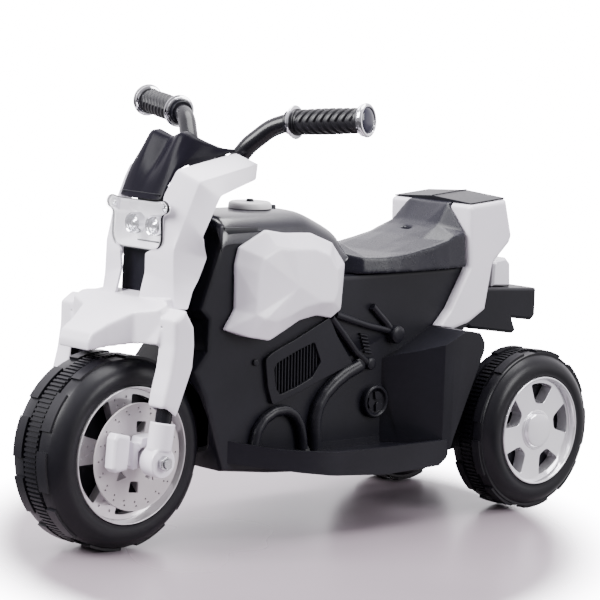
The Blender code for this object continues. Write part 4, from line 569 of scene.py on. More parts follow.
def front_wheel():
    """Tyre, rims and brake discs at the front."""
    centre = Vector((0.0, FRONT_Y, FRONT_Z))
    tyre("front_tyre_moulding", "front_tyre", centre, FRONT_Z, 0.0455, 0.03, 0.0795, 240)
    for side, word in SIDES:
        barrel = turned(
            [(0.0795, 0.0452), (0.0795, 0.0004), (0.0765, 0.0004), (0.0765, 0.03), (0.0752, 0.0335),
             (0.0758, 0.036), (0.0772, 0.044), (0.0777, 0.0462), (0.0784, 0.0467), (0.0792, 0.0462)],
            centre, SIDE * side, 144,
        )
        hub = turned(
            [(0.016, 0.034), (0.016, 0.0512), (0.012, 0.0518), (0.012, 0.0772), (0.0114, 0.0776),
             (0.0054, 0.0776), (0.0054, 0.0004), (0.016, 0.0004), (0.016, 0.023)],
            centre, SIDE * side, 48,
        )
        windows = rim_windows(0.03, 0.0695, -45.0, 15.0, 21.5, 0.003)
        dents = []
        for k in range(SPOKE_COUNT):
            middle = math.radians(-81.0 + 72.0 * k)
            for radius, lean in ((0.0665, -0.13), (0.0665, 0.13), (0.0585, -0.09), (0.0585, 0.09), (0.05, 0.0)):
                dents.append(ring_outline(0.0016, 10, polar(radius, middle + lean)))
        spokes = wheel_plate(
            [ring_outline(0.0752, 96)] + windows + dents + [ring_outline(0.015, 48)], 0.0215, 0.034, centre, side
        )
        floor = wheel_plate([ring_outline(0.0745, 64)] + windows + [ring_outline(0.0152, 48)], 0.0212, 0.0322,
                            centre, side)
        rim = done(together(barrel, hub, spokes, floor), f"front_rim_moulding_{word}", SILVER, f"front_rim_{word}")
        rounded(rim, 0.0006, 2, 40.0)
        # A black disc behind the rim's windows: painted shade that makes the openings between the spokes look dark
        painted_shade_disc = turned([(0.018, 0.015), (0.0744, 0.015), (0.0744, 0.0162), (0.018, 0.0162)],
                         centre, SIDE * side, 72)
        done(painted_shade_disc, f"front_rim_backing_{word}", BLACK, body="front_wheel")
        holes = [ring_outline(0.0012, 10, polar(r, a))
                 for r, lean in ((0.0565, 0.0), (0.0515, 0.045))
                 for a in (math.tau * k / 20 + lean for k in range(20))]
        squares = []
        for k in range(4):
            turn = math.radians(187.0 + 90.0 * k)
            for angle, out_r, corners, ease in (
                (turn, 0.0345, ((-0.0065, -0.006), (0.0065, -0.0072), (0.0065, 0.0072), (-0.0065, 0.006)), 0.002),
                (turn + math.radians(43.0), 0.033, ((-0.007, -0.0068), (0.006, 0.0), (-0.007, 0.0068)), 0.0012),
            ):
                out = Vector(polar(1.0, angle))
                across = Vector((out.y, -out.x))
                squares.append(eased([out * (out_r + a) + across * b for a, b in corners], ease))
        disc = wheel_plate(
            [ring_outline(0.062, 128)] + holes + squares + [ring_outline(0.0123, 48)], 0.052, 0.0545, centre, side
        )
        lip = turned([(0.0612, 0.0548), (0.0619, 0.0545), (0.0619, 0.0521), (0.06, 0.0521), (0.06, 0.0541)],
                     centre, SIDE * side, 128)
        rounded(done(together(disc, lip), f"front_disc_plate_{word}", DISC, f"front_disc_{word}"), 0.0003, 2, 50.0)


def rear_wheels():
    """Tyres, bright rims and hub caps at the back."""
    for side, word in SIDES:
        centre = Vector((side * REAR_X, REAR_Y, REAR_Z))
        tyre(f"rear_tyre_moulding_{word}", f"rear_tyre_{word}", centre, REAR_Z, 0.035, 0.0235, 0.068, 216)
        barrel = turned(
            [(0.068, 0.0345), (0.068, -0.0345), (0.065, -0.0345), (0.065, 0.023), (0.0632, 0.0268),
             (0.063, 0.0282), (0.0644, 0.0335), (0.0654, 0.0356), (0.0668, 0.036), (0.0678, 0.0355)],
            centre, SIDE * side, 128,
        )
        hub = turned(
            [(0.0255, 0.0285), (0.0235, 0.0292), (0.0054, 0.0292), (0.0054, -0.0345), (0.016, -0.0345),
             (0.016, 0.014), (0.0255, 0.019)],
            centre, SIDE * side, 64,
        )
        windows = rim_windows(0.034, 0.059, 8.0, 13.0, 19.5, 0.005)
        spokes = wheel_plate([ring_outline(0.064, 96)] + windows + [ring_outline(0.02, 48)], 0.011, 0.0278,
                             centre, side)
        # A black disc behind the rim's windows: painted shade that makes the openings between the spokes look dark
        painted_shade_disc = turned([(0.018, 0.008), (0.0646, 0.008), (0.0646, 0.0092), (0.018, 0.0092)],
                         centre, SIDE * side, 72)
        done(painted_shade_disc, f"rear_rim_backing_{word}", BLACK, body=f"rear_wheel_{word}")
        rim = done(together(barrel, hub, spokes), f"rear_rim_moulding_{word}", BRIGHT, f"rear_rim_{word}")
        rounded(rim, 0.0014, 3, 40.0)
        cap = turned(
            [(0.0, 0.034), (0.018, 0.0339), (0.0206, 0.0334), (0.0218, 0.0322), (0.0222, 0.0306),
             (0.0222, 0.029), (0.0118, 0.029), (0.0118, 0.031), (0.0, 0.031)],
            centre, SIDE * side, 96, closed=False,
        )
        done(cap, f"hub_cap_cover_{word}", BRIGHT, f"hub_cap_{word}")


# Fork

def fork():
    """Round-ended sliders, brake calipers, axle nuts and yoke."""
    for _, word in SIDES:
        moulding(f"fork_slider_{word}", f"fork_slider_casting_{word}", WHITE, 0.0009, 14)
        moulding(f"brake_caliper_{word}", f"caliper_casting_{word}", WHITE, 0.0009, 10)
        softened(f"front_axle_nut_{word}", f"front_axle_nut_hex_{word}", STEEL, 0.0008, 2)
        softened(f"rear_axle_nut_{word}", f"rear_axle_nut_hex_{word}", STEEL, 0.0008, 2)
    softened("fork_yoke", "fork_yoke_plate", BLACK_STEEL, 0.002, 3)


# Handlebar

def bar_points(side):
    """The handlebar's bends on the left (1) or right (-1) side."""
    middle = STEER_BASE + STEER_UP * BAR_HEIGHT
    bends = [
        (0.0335, 0.0, 0.0),
        (0.052, 0.008, 0.026),
        (0.074, 0.0225, 0.0475),
        (GRIP_IN_X - 0.006, 0.0313, 0.0548),
        (GRIP_OUT_X + 0.001, 0.0608, 0.0633),
    ]
    return [Vector((side * x, middle.y + dy, middle.z + dz)) for x, dy, dz in bends]


def bent(points, radius, steps):
    """A path with each inner corner rounded by an arc."""
    path = [points[0]]
    for before, here, after in zip(points, points[1:], points[2:]):
        first = (before - here).normalized()
        second = (after - here).normalized()
        turn = math.pi - first.angle(second)
        reach = min(radius * math.tan(turn / 2), (before - here).length * 0.45, (after - here).length * 0.45)
        arc_r = reach / math.tan(turn / 2)
        bisector = (first + second).normalized()
        centre = here + bisector * (arc_r / math.cos(turn / 2))
        start = here + first * reach - centre
        end = here + second * reach - centre
        sweep = start.angle(end)
        for k in range(steps + 1):
            share = k / steps
            spoke = start * math.sin((1.0 - share) * sweep) + end * math.sin(share * sweep)
            path.append(centre + spoke / math.sin(sweep))
    path.append(points[-1])
    return path


def grip_axis(side):
    """The inner end of the grip and its outward direction."""
    bends = bar_points(side)
    outward = (bends[-1] - bends[-2]).normalized()
    start = bends[-2] + outward * ((GRIP_IN_X - abs(bends[-2].x)) / abs(outward.x))
    return start, outward


def grip_ribs(around, along, length):
    """Height of the herringbone ribs on a grip, from its angle and the share of its length."""
    slant = abs(((around / math.pi) % 1.0) - 0.5) * 2.0
    wave = math.sin(math.tau * (along * length / RIB_PITCH + slant * 1.3))
    ends = min(1.0, along * 9.0, (1.0 - along) * 9.0)
    return 0.0008 * max(-1.6, min(1.0, wave * 3.2 + 1.0)) * max(0.0, ends)


def grip(side, word, length):
    """A rubber grip between a flange and an end ring."""
    start, outward = grip_axis(side)
    low = GRIP_END
    high = length - GRIP_END
    count = 150
    profile = [(0.0103, low), (0.015, low), (0.0156, low + 0.0008), (0.0156, low + 0.003)]
    for k in range(count + 1):
        share = k / count
        z = low + 0.0036 + (high - low - 0.0072) * share
        profile.append((0.0142 + 0.0006 * math.cos(math.tau * (share - 0.5)) * 0.5, z))
    profile += [(0.0156, high - 0.003), (0.0156, high - 0.0008), (0.015, high), (0.0103, high)]
    bm = turned(profile, (0.0, 0.0, 0.0), (0.0, 0.0, 1.0), 96)
    for vert in bm.verts:
        radius = vert.co.xy.length
        share = (vert.co.z - low) / (high - low)
        if radius > 0.012 and 0.06 < share < 0.94:
            around = math.atan2(vert.co.y, vert.co.x)
            lift = grip_ribs(around, share, high - low)
            vert.co.x *= (radius + lift) / radius
            vert.co.y *= (radius + lift) / radius
    return done(aim(bm, start, outward), f"grip_sleeve_{word}", RUBBER, f"grip_{word}", sharp=50.0)


def handlebar():
    """The bent bar, its clamp, grips, rings and bar ends."""
    path = bent(bar_points(-1)[::-1] + bar_points(1), BAR_BEND, 12)
    done(bar_along(path, BAR_R, 32), "handlebar_tube", BLACK_STEEL, "handlebar", sharp=40.0)
    softened("handlebar_clamp", "handlebar_clamp_block", BLACK, 0.0015, 2)
    length = (GRIP_OUT_X - GRIP_IN_X) / abs(grip_axis(1)[1].x)
    for side, word in SIDES:
        start, outward = grip_axis(side)
        grip(side, word, length)
        ring = turned(
            [(0.0103, 0.0), (0.016, 0.0), (0.0172, 0.0003), (0.0176, 0.0012), (0.0172, 0.002), (0.0156, 0.0024),
             (0.0156, 0.0028), (0.0186, 0.0031), (0.0194, 0.0036), (0.0196, 0.0045), (0.0192, 0.0054),
             (0.018, 0.0058), (0.0103, 0.0058)],
            start, outward, 64,
        )
        done(ring, f"grip_ring_bright_{word}", CHROME, f"grip_ring_{word}")
        collar = turned(
            [(0.0103, -0.0062), (0.0128, -0.0062), (0.0134, -0.0056), (0.0134, -0.002), (0.015, -0.0014),
             (0.0152, -0.0002), (0.0103, -0.0002)],
            start, outward, 48,
        )
        done(collar, f"grip_collar_{word}", BLACK, body="steering")
        end = turned(
            [(r, length + h) for r, h in (
                (0.0152, 0.0006), (0.0152, 0.0022), (0.0162, 0.003), (0.018, 0.0029), (0.0192, 0.0018),
                (0.0196, 0.0004), (0.0192, -0.001), (0.0178, -0.0018), (0.0178, -0.0026), (0.0184, -0.0034),
                (0.0182, -0.0046), (0.0172, -0.0052), (0.0103, -0.0052), (0.0103, 0.0006),
            )],
            start, outward, 64,
        )
        done(end, f"bar_end_bright_{word}", CHROME, f"bar_end_{word}")
        plug = turned(
            [(r, length + h) for r, h in (
                (0.0, 0.0044), (0.006, 0.0042), (0.011, 0.0035), (0.0138, 0.0023), (0.015, 0.0012), (0.015, 0.0002),
                (0.0, 0.0002),
            )],
            start, outward, 64, closed=False,
        )
        done(plug, f"bar_end_plug_{word}", GLOSS, body="steering")


# Fairing, cowl and headlight

FAIRING_LINES = (
    (
        (0.056, 0.1347, 0.4535), (0.048, 0.0967, 0.4445), (0.0418, 0.0587, 0.4355), (0.0388, 0.0417, 0.405),
        (0.0445, 0.0392, 0.352), (0.0225, 0.0307, 0.34), (0.0215, 0.0317, 0.318), (0.0215, 0.0227, 0.286),
    ),
    (
        (0.072, 0.1547, 0.4415), (0.068, 0.1137, 0.432), (0.0655, 0.0722, 0.423), (0.0645, 0.0547, 0.385),
        (0.06, 0.0412, 0.347), (0.06, 0.0407, 0.33), (0.061, 0.0407, 0.308), (0.065, 0.0397, 0.28),
    ),
    (
        (0.074, 0.1507, 0.424), (0.0745, 0.1232, 0.4155), (0.075, 0.0967, 0.407), (0.077, 0.0687, 0.361),
        (0.0735, 0.0792, 0.337), (0.073, 0.0677, 0.312), (0.074, 0.0587, 0.3), (0.075, 0.0512, 0.28),
    ),
)

# The cowl in columns from its middle out to the rear tip, each from the lower edge up
COWL_COLUMNS = (
    ((0.0, 0.0368, 0.401), (0.0, 0.048, 0.42), (0.0, 0.061, 0.436), (0.0, 0.0745, 0.4545),
     (0.0, 0.083, 0.469), (0.0, 0.09, 0.4695)),
    ((0.0105, 0.0369, 0.401), (0.0105, 0.0473, 0.4205), (0.011, 0.0575, 0.437), (0.0115, 0.069, 0.457),
     (0.012, 0.079, 0.473), (0.012, 0.088, 0.474)),
    ((0.02, 0.0373, 0.401), (0.0205, 0.0468, 0.4207), (0.0212, 0.0555, 0.4375), (0.0218, 0.0655, 0.458),
     (0.0225, 0.0765, 0.4765), (0.0225, 0.087, 0.4775)),
    ((0.029, 0.0385, 0.4012), (0.0295, 0.0477, 0.421), (0.03, 0.0562, 0.4378), (0.0305, 0.0668, 0.457),
     (0.0305, 0.0785, 0.4755), (0.03, 0.0885, 0.4765)),
    ((0.0365, 0.0403, 0.402), (0.0375, 0.05, 0.4225), (0.0385, 0.059, 0.438), (0.0385, 0.072, 0.454),
     (0.0375, 0.086, 0.47), (0.036, 0.095, 0.4705)),
    ((0.0405, 0.0622, 0.4375), (0.0412, 0.0665, 0.4415), (0.0425, 0.074, 0.448), (0.043, 0.085, 0.456),
     (0.043, 0.099, 0.465), (0.0415, 0.106, 0.465)),
    ((0.0485, 0.0977, 0.4465), (0.0486, 0.0995, 0.4485), (0.0489, 0.103, 0.451), (0.0488, 0.1085, 0.455),
     (0.0485, 0.116, 0.4595), (0.047, 0.121, 0.459)),
    ((0.0555, 0.1327, 0.4545), (0.0555, 0.1329, 0.4555), (0.0555, 0.133, 0.4562), (0.0555, 0.1333, 0.457),
     (0.0553, 0.1337, 0.458), (0.0545, 0.1345, 0.4575)),
)

LENS_HALF = (
    (0.03, 0.343), (0.039, 0.3465), (0.0435, 0.355), (0.0425, 0.384), (0.052, 0.3875), (0.0545, 0.3945),
    (0.048, 0.4015), (0.034, 0.399),
)
LENS_MIDDLE = Vector((0.0, 0.3745))


def from_front(points, side=1):
    return [Vector((side * x, FRONT_Y + dy, z)) for x, dy, z in points]


def whole(half):
    """A closed outline from its left half."""
    return list(half) + [(-x, z) for x, z in reversed(half)]


def lens_rings(outline, steps, hoop=False):
    """The lens outline scaled about its middle, each ring at its own depth behind the front axle.
    The last is filled, or joined to the first to make a hoop."""
    bm = bmesh.new()
    rings = []
    for scale, dy in steps:
        rings.append(loop(bm, [(LENS_MIDDLE.x + (point.x - LENS_MIDDLE.x) * scale, FRONT_Y + dy,
                                LENS_MIDDLE.y + (point.y - LENS_MIDDLE.y) * scale) for point in outline]))
    for first, second in zip(rings, rings[1:] + rings[:1] if hoop else rings[1:]):
        bmesh.ops.bridge_loops(bm, edges=first + second)
    if not hoop:
        bmesh.ops.edgeloop_fill(bm, edges=rings[-1])
    return bm


def fairing():
    """The white headlight surround, a creased shell on each side."""
    for side, word in SIDES:
        bm = skin([from_front(line, side) for line in FAIRING_LINES], (side, -0.6, 0.3), 5, ((1, 0.8),))
        obj = done(bm, f"fairing_shell_{word}", WHITE, f"fairing_{word}", outward=False, sharp=0.0)
        shell(obj, 0.0026, 2, 0.0009)


def cowl():
    """The black cowl with its two rounded peaks, and the plate and tongue behind the lamp."""
    half = [from_front(column) for column in COWL_COLUMNS]
    right = [from_front(column, -1) for column in COWL_COLUMNS[:0:-1]]
    bm = skin(right + half, (0.0, -1.0, 0.6), 1)
    shell(done(bm, "windshield_cowl_shell", SATIN, "windshield_cowl", outward=False, sharp=0.0), 0.0022, 2, 0.0006)
    plate = [Vector(fore(*point)) for point in
             ((0.069, 0.414), (0.069, 0.352), (0.0505, 0.34), (0.048, 0.288), (0.045, 0.288), (0.047, 0.342),
              (0.066, 0.355), (0.066, 0.414))]
    roof = [Vector(fore(*point)) for point in ((0.04, 0.405), (0.04, 0.4078), (0.069, 0.4078), (0.069, 0.405))]
    arm = [Vector(fore(*point)) for point in ((0.067, 0.398), (0.067, 0.409), (0.133, 0.409), (0.133, 0.398))]
    bm = together(side_plate(plate, -0.036, 0.036), side_plate(roof, -0.0335, 0.0335),
                  side_plate(arm, -0.012, 0.012))
    rounded(done(bm, "lamp_back_plate", BLACK, body="steering"), 0.0008, 2)


def headlight():
    """The domed lens with its rim, the bright dish and its ring lamps."""
    outline = eased(whole(LENS_HALF), 0.0075, 6)
    lens = lens_rings(outline, (
        (1.0, 0.0372), (1.0, 0.034), (0.988, 0.0325), (0.96, 0.0315), (0.88, 0.0308), (0.7, 0.0302),
        (0.45, 0.0298), (0.2, 0.0297),
    ))
    lens = done(faced(lens, (0.0, -1.0, 0.0)), "headlight_lens_dome", CLEAR, "headlight_lens", outward=False)
    walled(lens, 0.0012)
    rim = lens_rings(outline, (
        (0.985, 0.0384), (1.01, 0.0384), (1.016, 0.0378), (1.016, 0.0362), (1.01, 0.0356), (0.985, 0.0356),
    ), hoop=True)
    done(rim, "headlight_rim", BLACK, body="steering")
    dish = lens_rings(outline, (
        (0.975, 0.0372), (0.93, 0.0376), (0.905, 0.0395), (0.86, 0.05), (0.8, 0.059), (0.45, 0.0625),
        (0.2, 0.063),
    ))
    walled(done(faced(dish, (0.0, -1.0, 0.0)), "headlight_dish", DISH, "headlight_reflector", outward=False), 0.001)
    for name, spot, size, deep in (
        ("main_lamp_ring", (0.018, 0.044, 0.37), 0.0125, 0.01),
        ("near_lamp_ring", (-0.018, 0.044, 0.37), 0.0125, 0.01),
        ("side_lamp_ring_left", (0.0455, 0.0395, 0.3925), 0.005, 0.003),
        ("side_lamp_ring_right", (-0.0455, 0.0395, 0.3925), 0.005, 0.003),
    ):
        centre = Vector((spot[0], FRONT_Y + spot[1], spot[2]))
        ring = turned(
            [(0.0, -deep), (size, -deep), (size, 0.0), (size * 0.92, 0.0012), (size * 0.8, 0.0),
             (size * 0.74, -0.24 * size), (size * 0.6, -0.12 * size), (size * 0.52, -0.36 * size),
             (size * 0.28, -0.12 * size), (0.0, 0.0005)],
            centre, (0.0, -1.0, 0.0), 48, closed=False,
        )
        done(ring, name, CHROME, body="steering", sharp=28.0)


# Tank, seat and tail

TANK_LINE = (
    (0.1135, 0.37), (0.1142, 0.3745), (0.1165, 0.379), (0.1215, 0.3818), (0.14, 0.3822), (0.175, 0.3822),
    (0.215, 0.3822), (0.243, 0.382), (0.256, 0.3805), (0.27, 0.3745), (0.29, 0.3655), (0.305, 0.358),
    (0.313, 0.35), (0.3185, 0.339), (0.3195, 0.328),
)
TANK_SHOULDER = (
    (0.0, 0.0), (0.018, 0.0), (0.033, -0.001), (0.043, -0.0036), (0.051, -0.0085), (0.0562, -0.0155),
    (0.059, -0.024), (0.06, -0.033),
)


def tank():
    """The black tank top with its round shoulders, the cap, the buttons and the rocker frame."""
    columns = []
    for k, point in enumerate(TANK_LINE):
        before = Vector(TANK_LINE[max(k - 1, 0)])
        after = Vector(TANK_LINE[min(k + 1, len(TANK_LINE) - 1)])
        along = (after - before).normalized()
        down = Vector((max(-0.3, min(0.0, along.y)), -1.0)).normalized()
        lean = min(1.0, max(0.0, (point[1] - 0.325) / 0.02))
        column = []
        for side in (-1, 1):
            half = []
            for x, drop in TANK_SHOULDER[1:] if side > 0 else TANK_SHOULDER:
                spot = Vector(point) - down * drop * lean
                half.append(Vector((side * x, FRONT_Y + spot.x, spot.y)))
            column += half[::-1] if side < 0 else half
        columns.append(column)
    bm = skin(columns, (0.0, 0.0, 1.0), 0)
    shell(done(bm, "tank_top_shell", TANK, "tank_cover", outward=False, sharp=0.0), 0.0022, 1, 0.0005)
    cap_y = FRONT_Y + 0.2098
    base = TANK_TOP + 0.0003
    cap = turned(
        [(r, base + h) for r, h in (
            (0.005, 0.0), (0.0256, 0.0), (0.026, 0.0006), (0.026, 0.003), (0.0255, 0.0056), (0.0243, 0.0074),
            (0.0228, 0.0082), (0.0206, 0.0082), (0.0199, 0.0077), (0.006, 0.0077), (0.0054, 0.008), (0.005, 0.0077),
        )],
        (0.0, cap_y, 0.0), (0.0, 0.0, 1.0), 96,
    )
    done(cap, "tank_cap_disc", GREY, "tank_cap")
    for name, node, y, under, top, foot in (
        ("music_button_key", "music_button", cap_y, base + 0.0042, base + 0.0112, 0.0045),
        ("horn_button_key", "horn_button", FRONT_Y + 0.246, TANK_TOP - 0.0031, TANK_TOP + 0.003, 0.0062),
    ):
        key = turned(
            [(0.0, top - 0.0003), (0.0022, top - 0.0002), (0.0034, top), (0.0041, top - 0.0004),
             (0.0045, top - 0.0012), (0.0045, under), (foot, under - 0.0001), (foot, under - 0.0015),
             (0.0, under - 0.0015)],
            (0.0, y, 0.0), (0.0, 0.0, 1.0), 48, closed=False,
        )
        done(key, name, BLACK, node)
    top = Vector((0.0, FRONT_Y + 0.254, TANK_TOP))
    low = Vector((0.0, FRONT_Y + 0.307, TANK_TOP - 0.0235))
    down = (low - top).normalized()
    out = Vector((0.0, -down.z, down.y))
    middle = top + (low - top) * 0.58
    frame_ring = pressed(
        bmesh.new(),
        [eased([(-u, -v), (u, -v), (u, v), (-u, v)], ease)
         for u, v, ease in ((0.0178, 0.01, 0.003), (0.0147, 0.007, 0.001))],
        -0.003, 0.0014,
        lambda point, depth: middle + down * point[0] + SIDE * point[1] + out * depth,
    )
    rounded(done(frame_ring, "rocker_frame", BLACK, body="frame"), 0.0006, 2)
    softened("power_rocker", "power_rocker_key", GREEN, 0.0006, 2)


def tail_top():
    """The black top of the tail, a low roof over both panels with a trim line along its ridge."""
    slab = ((-0.0598, 0.3803), (0.0026, 0.3853), (0.0026, 0.3869), (-0.0598, 0.3819))
    bm = side_plate([Vector(aft(*point)) for point in slab], -TAIL_TOP_X, TAIL_TOP_X)
    bmesh.ops.bisect_plane(bm, geom=bm.verts[:] + bm.edges[:] + bm.faces[:], plane_co=(0.0, 0.0, 0.0),
                           plane_no=SIDE, dist=1e-6)
    for vert in bm.verts:
        if abs(vert.co.x) < 1e-5 and vert.co.z > 0.381 + (vert.co.y - REAR_Y + 0.0598) * 0.08:
            vert.co.z += RIDGE_RISE
    rounded(done(bm, "tail_top_cover", BLACK, body="frame"), 0.0006, 2)
    ridge = [Vector((0.0, *aft(dy, z + RIDGE_RISE)))
             for dy, z in ((-0.059, 0.3816), (-0.028, 0.3842), (0.002, 0.3866))]
    done(bar_along(ridge, 0.0012, 16), "tail_top_trim", BLACK, body="frame")


def bodywork():
    """The moulded covers with their eased edges."""
    for side, word in SIDES:
        body = merged_copy(f"body_{word}")
        # The CAD's low relief is pressed flat, because engine() lays the finer one on it
        for vert in body.verts:
            x, y, z = vert.co
            if RELIEF_IN < abs(x) < RELIEF_OUT and z > SHELF_TOP and y < FRONT_Y + GUARD_DY:
                vert.co.x = side * CORE_X
        bmesh.ops.dissolve_degenerate(body, edges=body.edges, dist=1e-6)
        bmesh.ops.dissolve_limit(body, angle_limit=FLAT_ANGLE, verts=body.verts, edges=body.edges)
        rounded(done(body, f"body_shell_{word}", BLACK, f"body_{word}", outward=False, sharp=0.0), 0.0032, 3)
        moulding(f"tank_panel_{word}", f"tank_panel_shell_{word}", WHITE, 0.0013, 12)
        moulding(f"tail_panel_{word}", f"tail_panel_shell_{word}", WHITE, 0.0013, 5)
    moulding("front_fender", "front_fender_shell", WHITE, 0.0014, 22)
    moulding("seat", "seat_shell", SEAT, 0.0016, 12)
    tail_top()
    softened("tail_bracket", "tail_bracket_shell", BLACK, 0.0012, 2)
    softened("tail_lamp", "tail_lamp_cover", LAMP, 0.0022, 3)
    softened("foot_pedal", "foot_pedal_plate", BLACK, 0.0006, 2)


# Engine relief on the sides of the body, as (dy, z) from the front axle

RADIATOR_EDGE = (
    (0.2878, 0.2536), (0.2351, 0.2321), (0.1976, 0.2187), (0.185, 0.211), (0.19, 0.1772), (0.1988, 0.1549),
    (0.2379, 0.1662), (0.2791, 0.1796), (0.329, 0.1945), (0.313, 0.215), (0.301, 0.23),
)
RADIATOR_HOLE = (
    (0.2636, 0.2253), (0.2357, 0.217), (0.2035, 0.2048), (0.1995, 0.1985), (0.2023, 0.1762), (0.21, 0.1664),
    (0.2377, 0.1742), (0.2611, 0.1831), (0.2752, 0.2008),
)
WIDE_PIPE = (
    (0.339, 0.1905), (0.3334, 0.1886), (0.3167, 0.1828), (0.299, 0.173), (0.2829, 0.1607), (0.2729, 0.1474),
    (0.2683, 0.1323), (0.2685, 0.1166), (0.2702, 0.0954),
)
ARCH_PIPE = (
    (0.1706, 0.098), (0.1716, 0.1109), (0.1752, 0.1261), (0.1858, 0.139), (0.2019, 0.1467), (0.2209, 0.1476),
    (0.236, 0.1397), (0.2441, 0.1268), (0.2485, 0.1098), (0.2495, 0.098),
)
THIN_PIPES = (
    ((0.2915, 0.2528), (0.3123, 0.2315), (0.3349, 0.2077), (0.3593, 0.19)),
    ((0.299, 0.256), (0.3268, 0.247), (0.3551, 0.2385), (0.39, 0.2302)),
    ((0.36, 0.262), (0.3829, 0.2421), (0.3996, 0.2252)),
)
BOSSES = (
    (0.4002, 0.2252, 0.0112, 0.0125), (0.3589, 0.192, 0.0076, 0.0085), (0.1724, 0.2075, 0.004, 0.003),
    (0.3415, 0.1912, 0.0095, 0.006),
)


def engine():
    """Radiator, pipes, spring and gear cover, moulded on the body's sides."""
    def beside(side, points, x):
        return [Vector((side * x, *fore(*point))) for point in points]

    for side, word in SIDES:
        edge, hole = (eased([fore(*point) for point in outline], ease, 3)
                      for outline, ease in ((RADIATOR_EDGE, 0.004), (RADIATOR_HOLE, 0.003)))
        plate = side_plate(edge, side * (CORE_X - 0.001), side * (CORE_X + 0.0052), hole)
        rounded(done(plate, f"radiator_frame_{word}", BLACK, body="frame"), 0.0016, 3)
        fins = []
        for k in range(14):
            dy = 0.2035 + 0.005 * k
            top = min(0.204 + (dy - 0.2035) * 0.33, 0.2253 - max(0.0, dy - 0.2636) * 2.1)
            bottom = max(0.1745 - max(0.0, dy - 0.2035) * 1.1, 0.166 + (dy - 0.21) * 0.32)
            fin = [Vector(fore(dy + lean, z)) for lean, z in
                   ((0.0008, bottom - 0.001), (0.003, bottom - 0.001), (0.0022, top + 0.001), (0.0, top + 0.001))]
            fins.append(side_plate(fin, side * (CORE_X - 0.001), side * (CORE_X + 0.0026)))
        rounded(done(together(*fins), f"radiator_fins_{word}", BLACK, body="frame"), 0.0006, 2)
        pipes = [bar_along(bent(beside(side, points, CORE_X + rise), 0.02, 5), radius, 20) for points, rise, radius in
                 [(WIDE_PIPE, 0.0045, 0.0082), (ARCH_PIPE, 0.0045, 0.0064)]
                 + [(points, 0.003, 0.0044) for points in THIN_PIPES]]
        done(together(*pipes), f"engine_pipes_{word}", BLACK, body="frame", sharp=50.0)
        coil = []
        for k in range(6):
            middle = Vector(beside(side, ((0.3478 + 0.0017 * k, 0.2278 - 0.0044 * k),), CORE_X + 0.0015)[0])
            coil.append(bar_along([middle + Vector((0.0, -0.0058, 0.0012)), middle + Vector((0.0, 0.0058, -0.0012))],
                                  0.0016, 12))
        done(together(*coil), f"spring_coils_{word}", BLACK, body="frame", sharp=50.0)
        discs = [
            turned(
                [(0.0, height), (radius * 0.45, height * 1.02), (radius * 0.78, height * 0.97),
                 (radius * 0.94, height * 0.86), (radius, height * 0.68), (radius, -0.001), (0.0, -0.001)],
                (side * CORE_X, *fore(dy, z)), SIDE * side, 40, closed=False,
            )
            for dy, z, radius, height in BOSSES
        ]
        discs.append(turned(
            [(0.0, 0.004), (0.013, 0.004), (0.0148, 0.0052), (0.016, 0.0078), (0.0172, 0.0086), (0.0188, 0.0084),
             (0.02, 0.007), (0.0204, 0.005), (0.0204, -0.001), (0.0, -0.001)],
            (side * CORE_X, *fore(0.3692, 0.1445)), SIDE * side, 56, closed=False,
        ))
        for turn in (0.4, 2.5, 4.6):
            sector = [Vector(fore(0.3692 + r * math.sin(turn + a), 0.1445 + r * math.cos(turn + a)))
                      for r, a in ((0.003, -0.7), (0.0128, -0.62), (0.0134, 0.0), (0.0128, 0.62), (0.003, 0.7))]
            discs.append(side_plate(eased(sector, 0.0012, 2), side * (CORE_X + 0.003), side * (CORE_X + 0.0068)))
        rounded(done(together(*discs), f"gear_cover_{word}", BLACK, body="frame"), 0.0005, 2)


def painted():
    """Finishes for the CAD pieces that stay as they are."""
    for finish, names in (
        (STEEL, "steering_column head_tube front_axle rear_axle drive_motor"),
        (BLACK_STEEL, "fork_stanchion_left fork_stanchion_right"),
        (BLACK, "charging_socket"),
        (GREY, "gearbox_case drive_coupling"),
        (CASE, "battery"),
    ):
        for name in names.split():
            data = frame["nodes"][name].data
            data.materials.clear()
            data.materials.append(finish.material)


# Floor, lights and camera

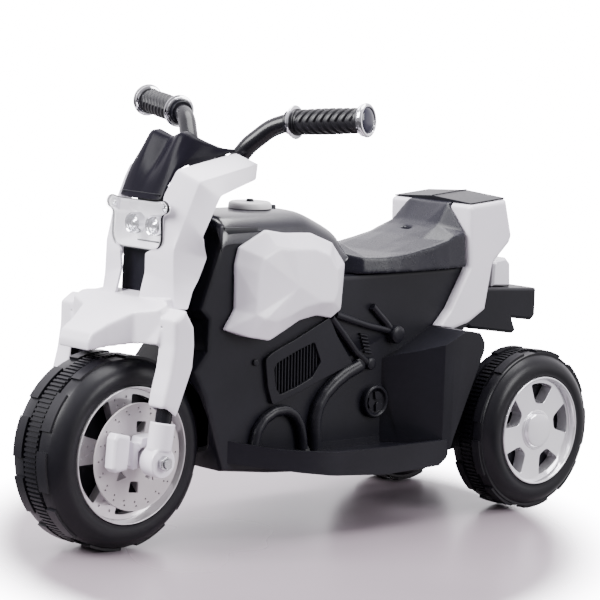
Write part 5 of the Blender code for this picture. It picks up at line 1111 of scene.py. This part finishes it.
def studio():
    """A pale glossy floor that fades into white, soft lights and the camera."""
    finish = Finish("studio_floor", Specular_IOR_Level=0.32)
    place = finish.place()
    across = finish.along(place, (0.6857, 0.7279, 0.0)) / POOL_HALF
    nearer = (finish.along(place, (0.7279, -0.6857, 0.0)) - POOL_NEAR) / POOL_DEEP
    away = (across * across + nearer * nearer) ** 0.5
    haze = finish.grain(2.2, 2.0)
    finish.set("Base Color", finish.tint(haze, (0.215, 0.18, 0.205), (0.27, 0.23, 0.26)))
    finish.set("Roughness", 0.2 + haze * 0.12)
    finish.set("Alpha", finish.between(away, 0.7, 1.0, 1.0, 0.0))
    floor = bmesh.new()
    bmesh.ops.create_grid(floor, x_segments=4, y_segments=4, size=2.0)
    mesh = meshed(floor, "studio_floor")
    mesh.materials.append(finish.material)
    obj = placed("studio_floor", mesh)
    obj.location.z = -0.0002

    world = bpy.data.worlds.new("studio")
    bpy.context.scene.world = world
    world.use_nodes = True
    room = Graph(world.node_tree)
    way = room.node("ShaderNodeTexCoord", out="Generated")
    behind = room.between(room.along(way, (-0.73, 0.68, 0.0)), -0.3, 0.9, 0.42, 2.2)
    above = room.between(room.along(way, (0.0, 0.0, 1.0)), 0.1, 0.9, 0.0, 0.8)
    below = room.between(room.along(way, (0.0, 0.0, 1.0)), -0.12, 0.0, 0.35, 1.0)
    seen = room.node("ShaderNodeLightPath", out="Is Camera Ray")
    beside = room.between(room.along(way, (0.72, 0.69, 0.0)), 0.8, 1.0, 0.0, 0.9)
    light = (behind + above) * below + beside
    backdrop = room.nodes["Background"]
    backdrop.inputs["Color"].default_value = (1.0, 0.97, 1.02, 1.0)
    room.feed(backdrop.inputs["Strength"], light + seen * (BACKDROP - light))

    middle = Vector((0.0, 0.0, 0.22))
    for name, spot, size, power in (
        ("key_light", (-0.5, -2.1, 1.9), (1.5, 1.5), 210.0),
        ("side_light", (2.3, 0.9, 1.3), (1.2, 1.2), 60.0),
        ("top_light", (0.1, 0.5, 2.3), (2.0, 1.6), 110.0),
    ):
        data = bpy.data.lights.new(name, "AREA")
        data.shape = "RECTANGLE"
        data.size, data.size_y = size
        data.energy = power
        light = placed(name, data)
        light.location = spot
        light.rotation_mode = "QUATERNION"
        light.rotation_quaternion = (middle - Vector(spot)).to_track_quat("-Z", "Y")

    data = bpy.data.cameras.new("camera")
    data.sensor_width = 36.0
    data.lens = FOCAL
    data.clip_start = 0.05
    camera = placed("camera", data)
    right = Vector((0.68496, 0.72784, 0.03289))
    up = Vector((-0.11369, 0.06218, 0.99157))
    back = Vector((0.71966, -0.68293, 0.12534))
    facing = Matrix((right, up, back)).transposed().to_4x4()
    camera.matrix_world = Matrix.Translation((2.34697, -2.21496, 0.6755)) @ facing
    bpy.context.scene.camera = camera


front_wheel()
rear_wheels()
fork()
handlebar()
fairing()
cowl()
headlight()
tank()
bodywork()
engine()
painted()
studio()

bpy.context.view_layer.update()
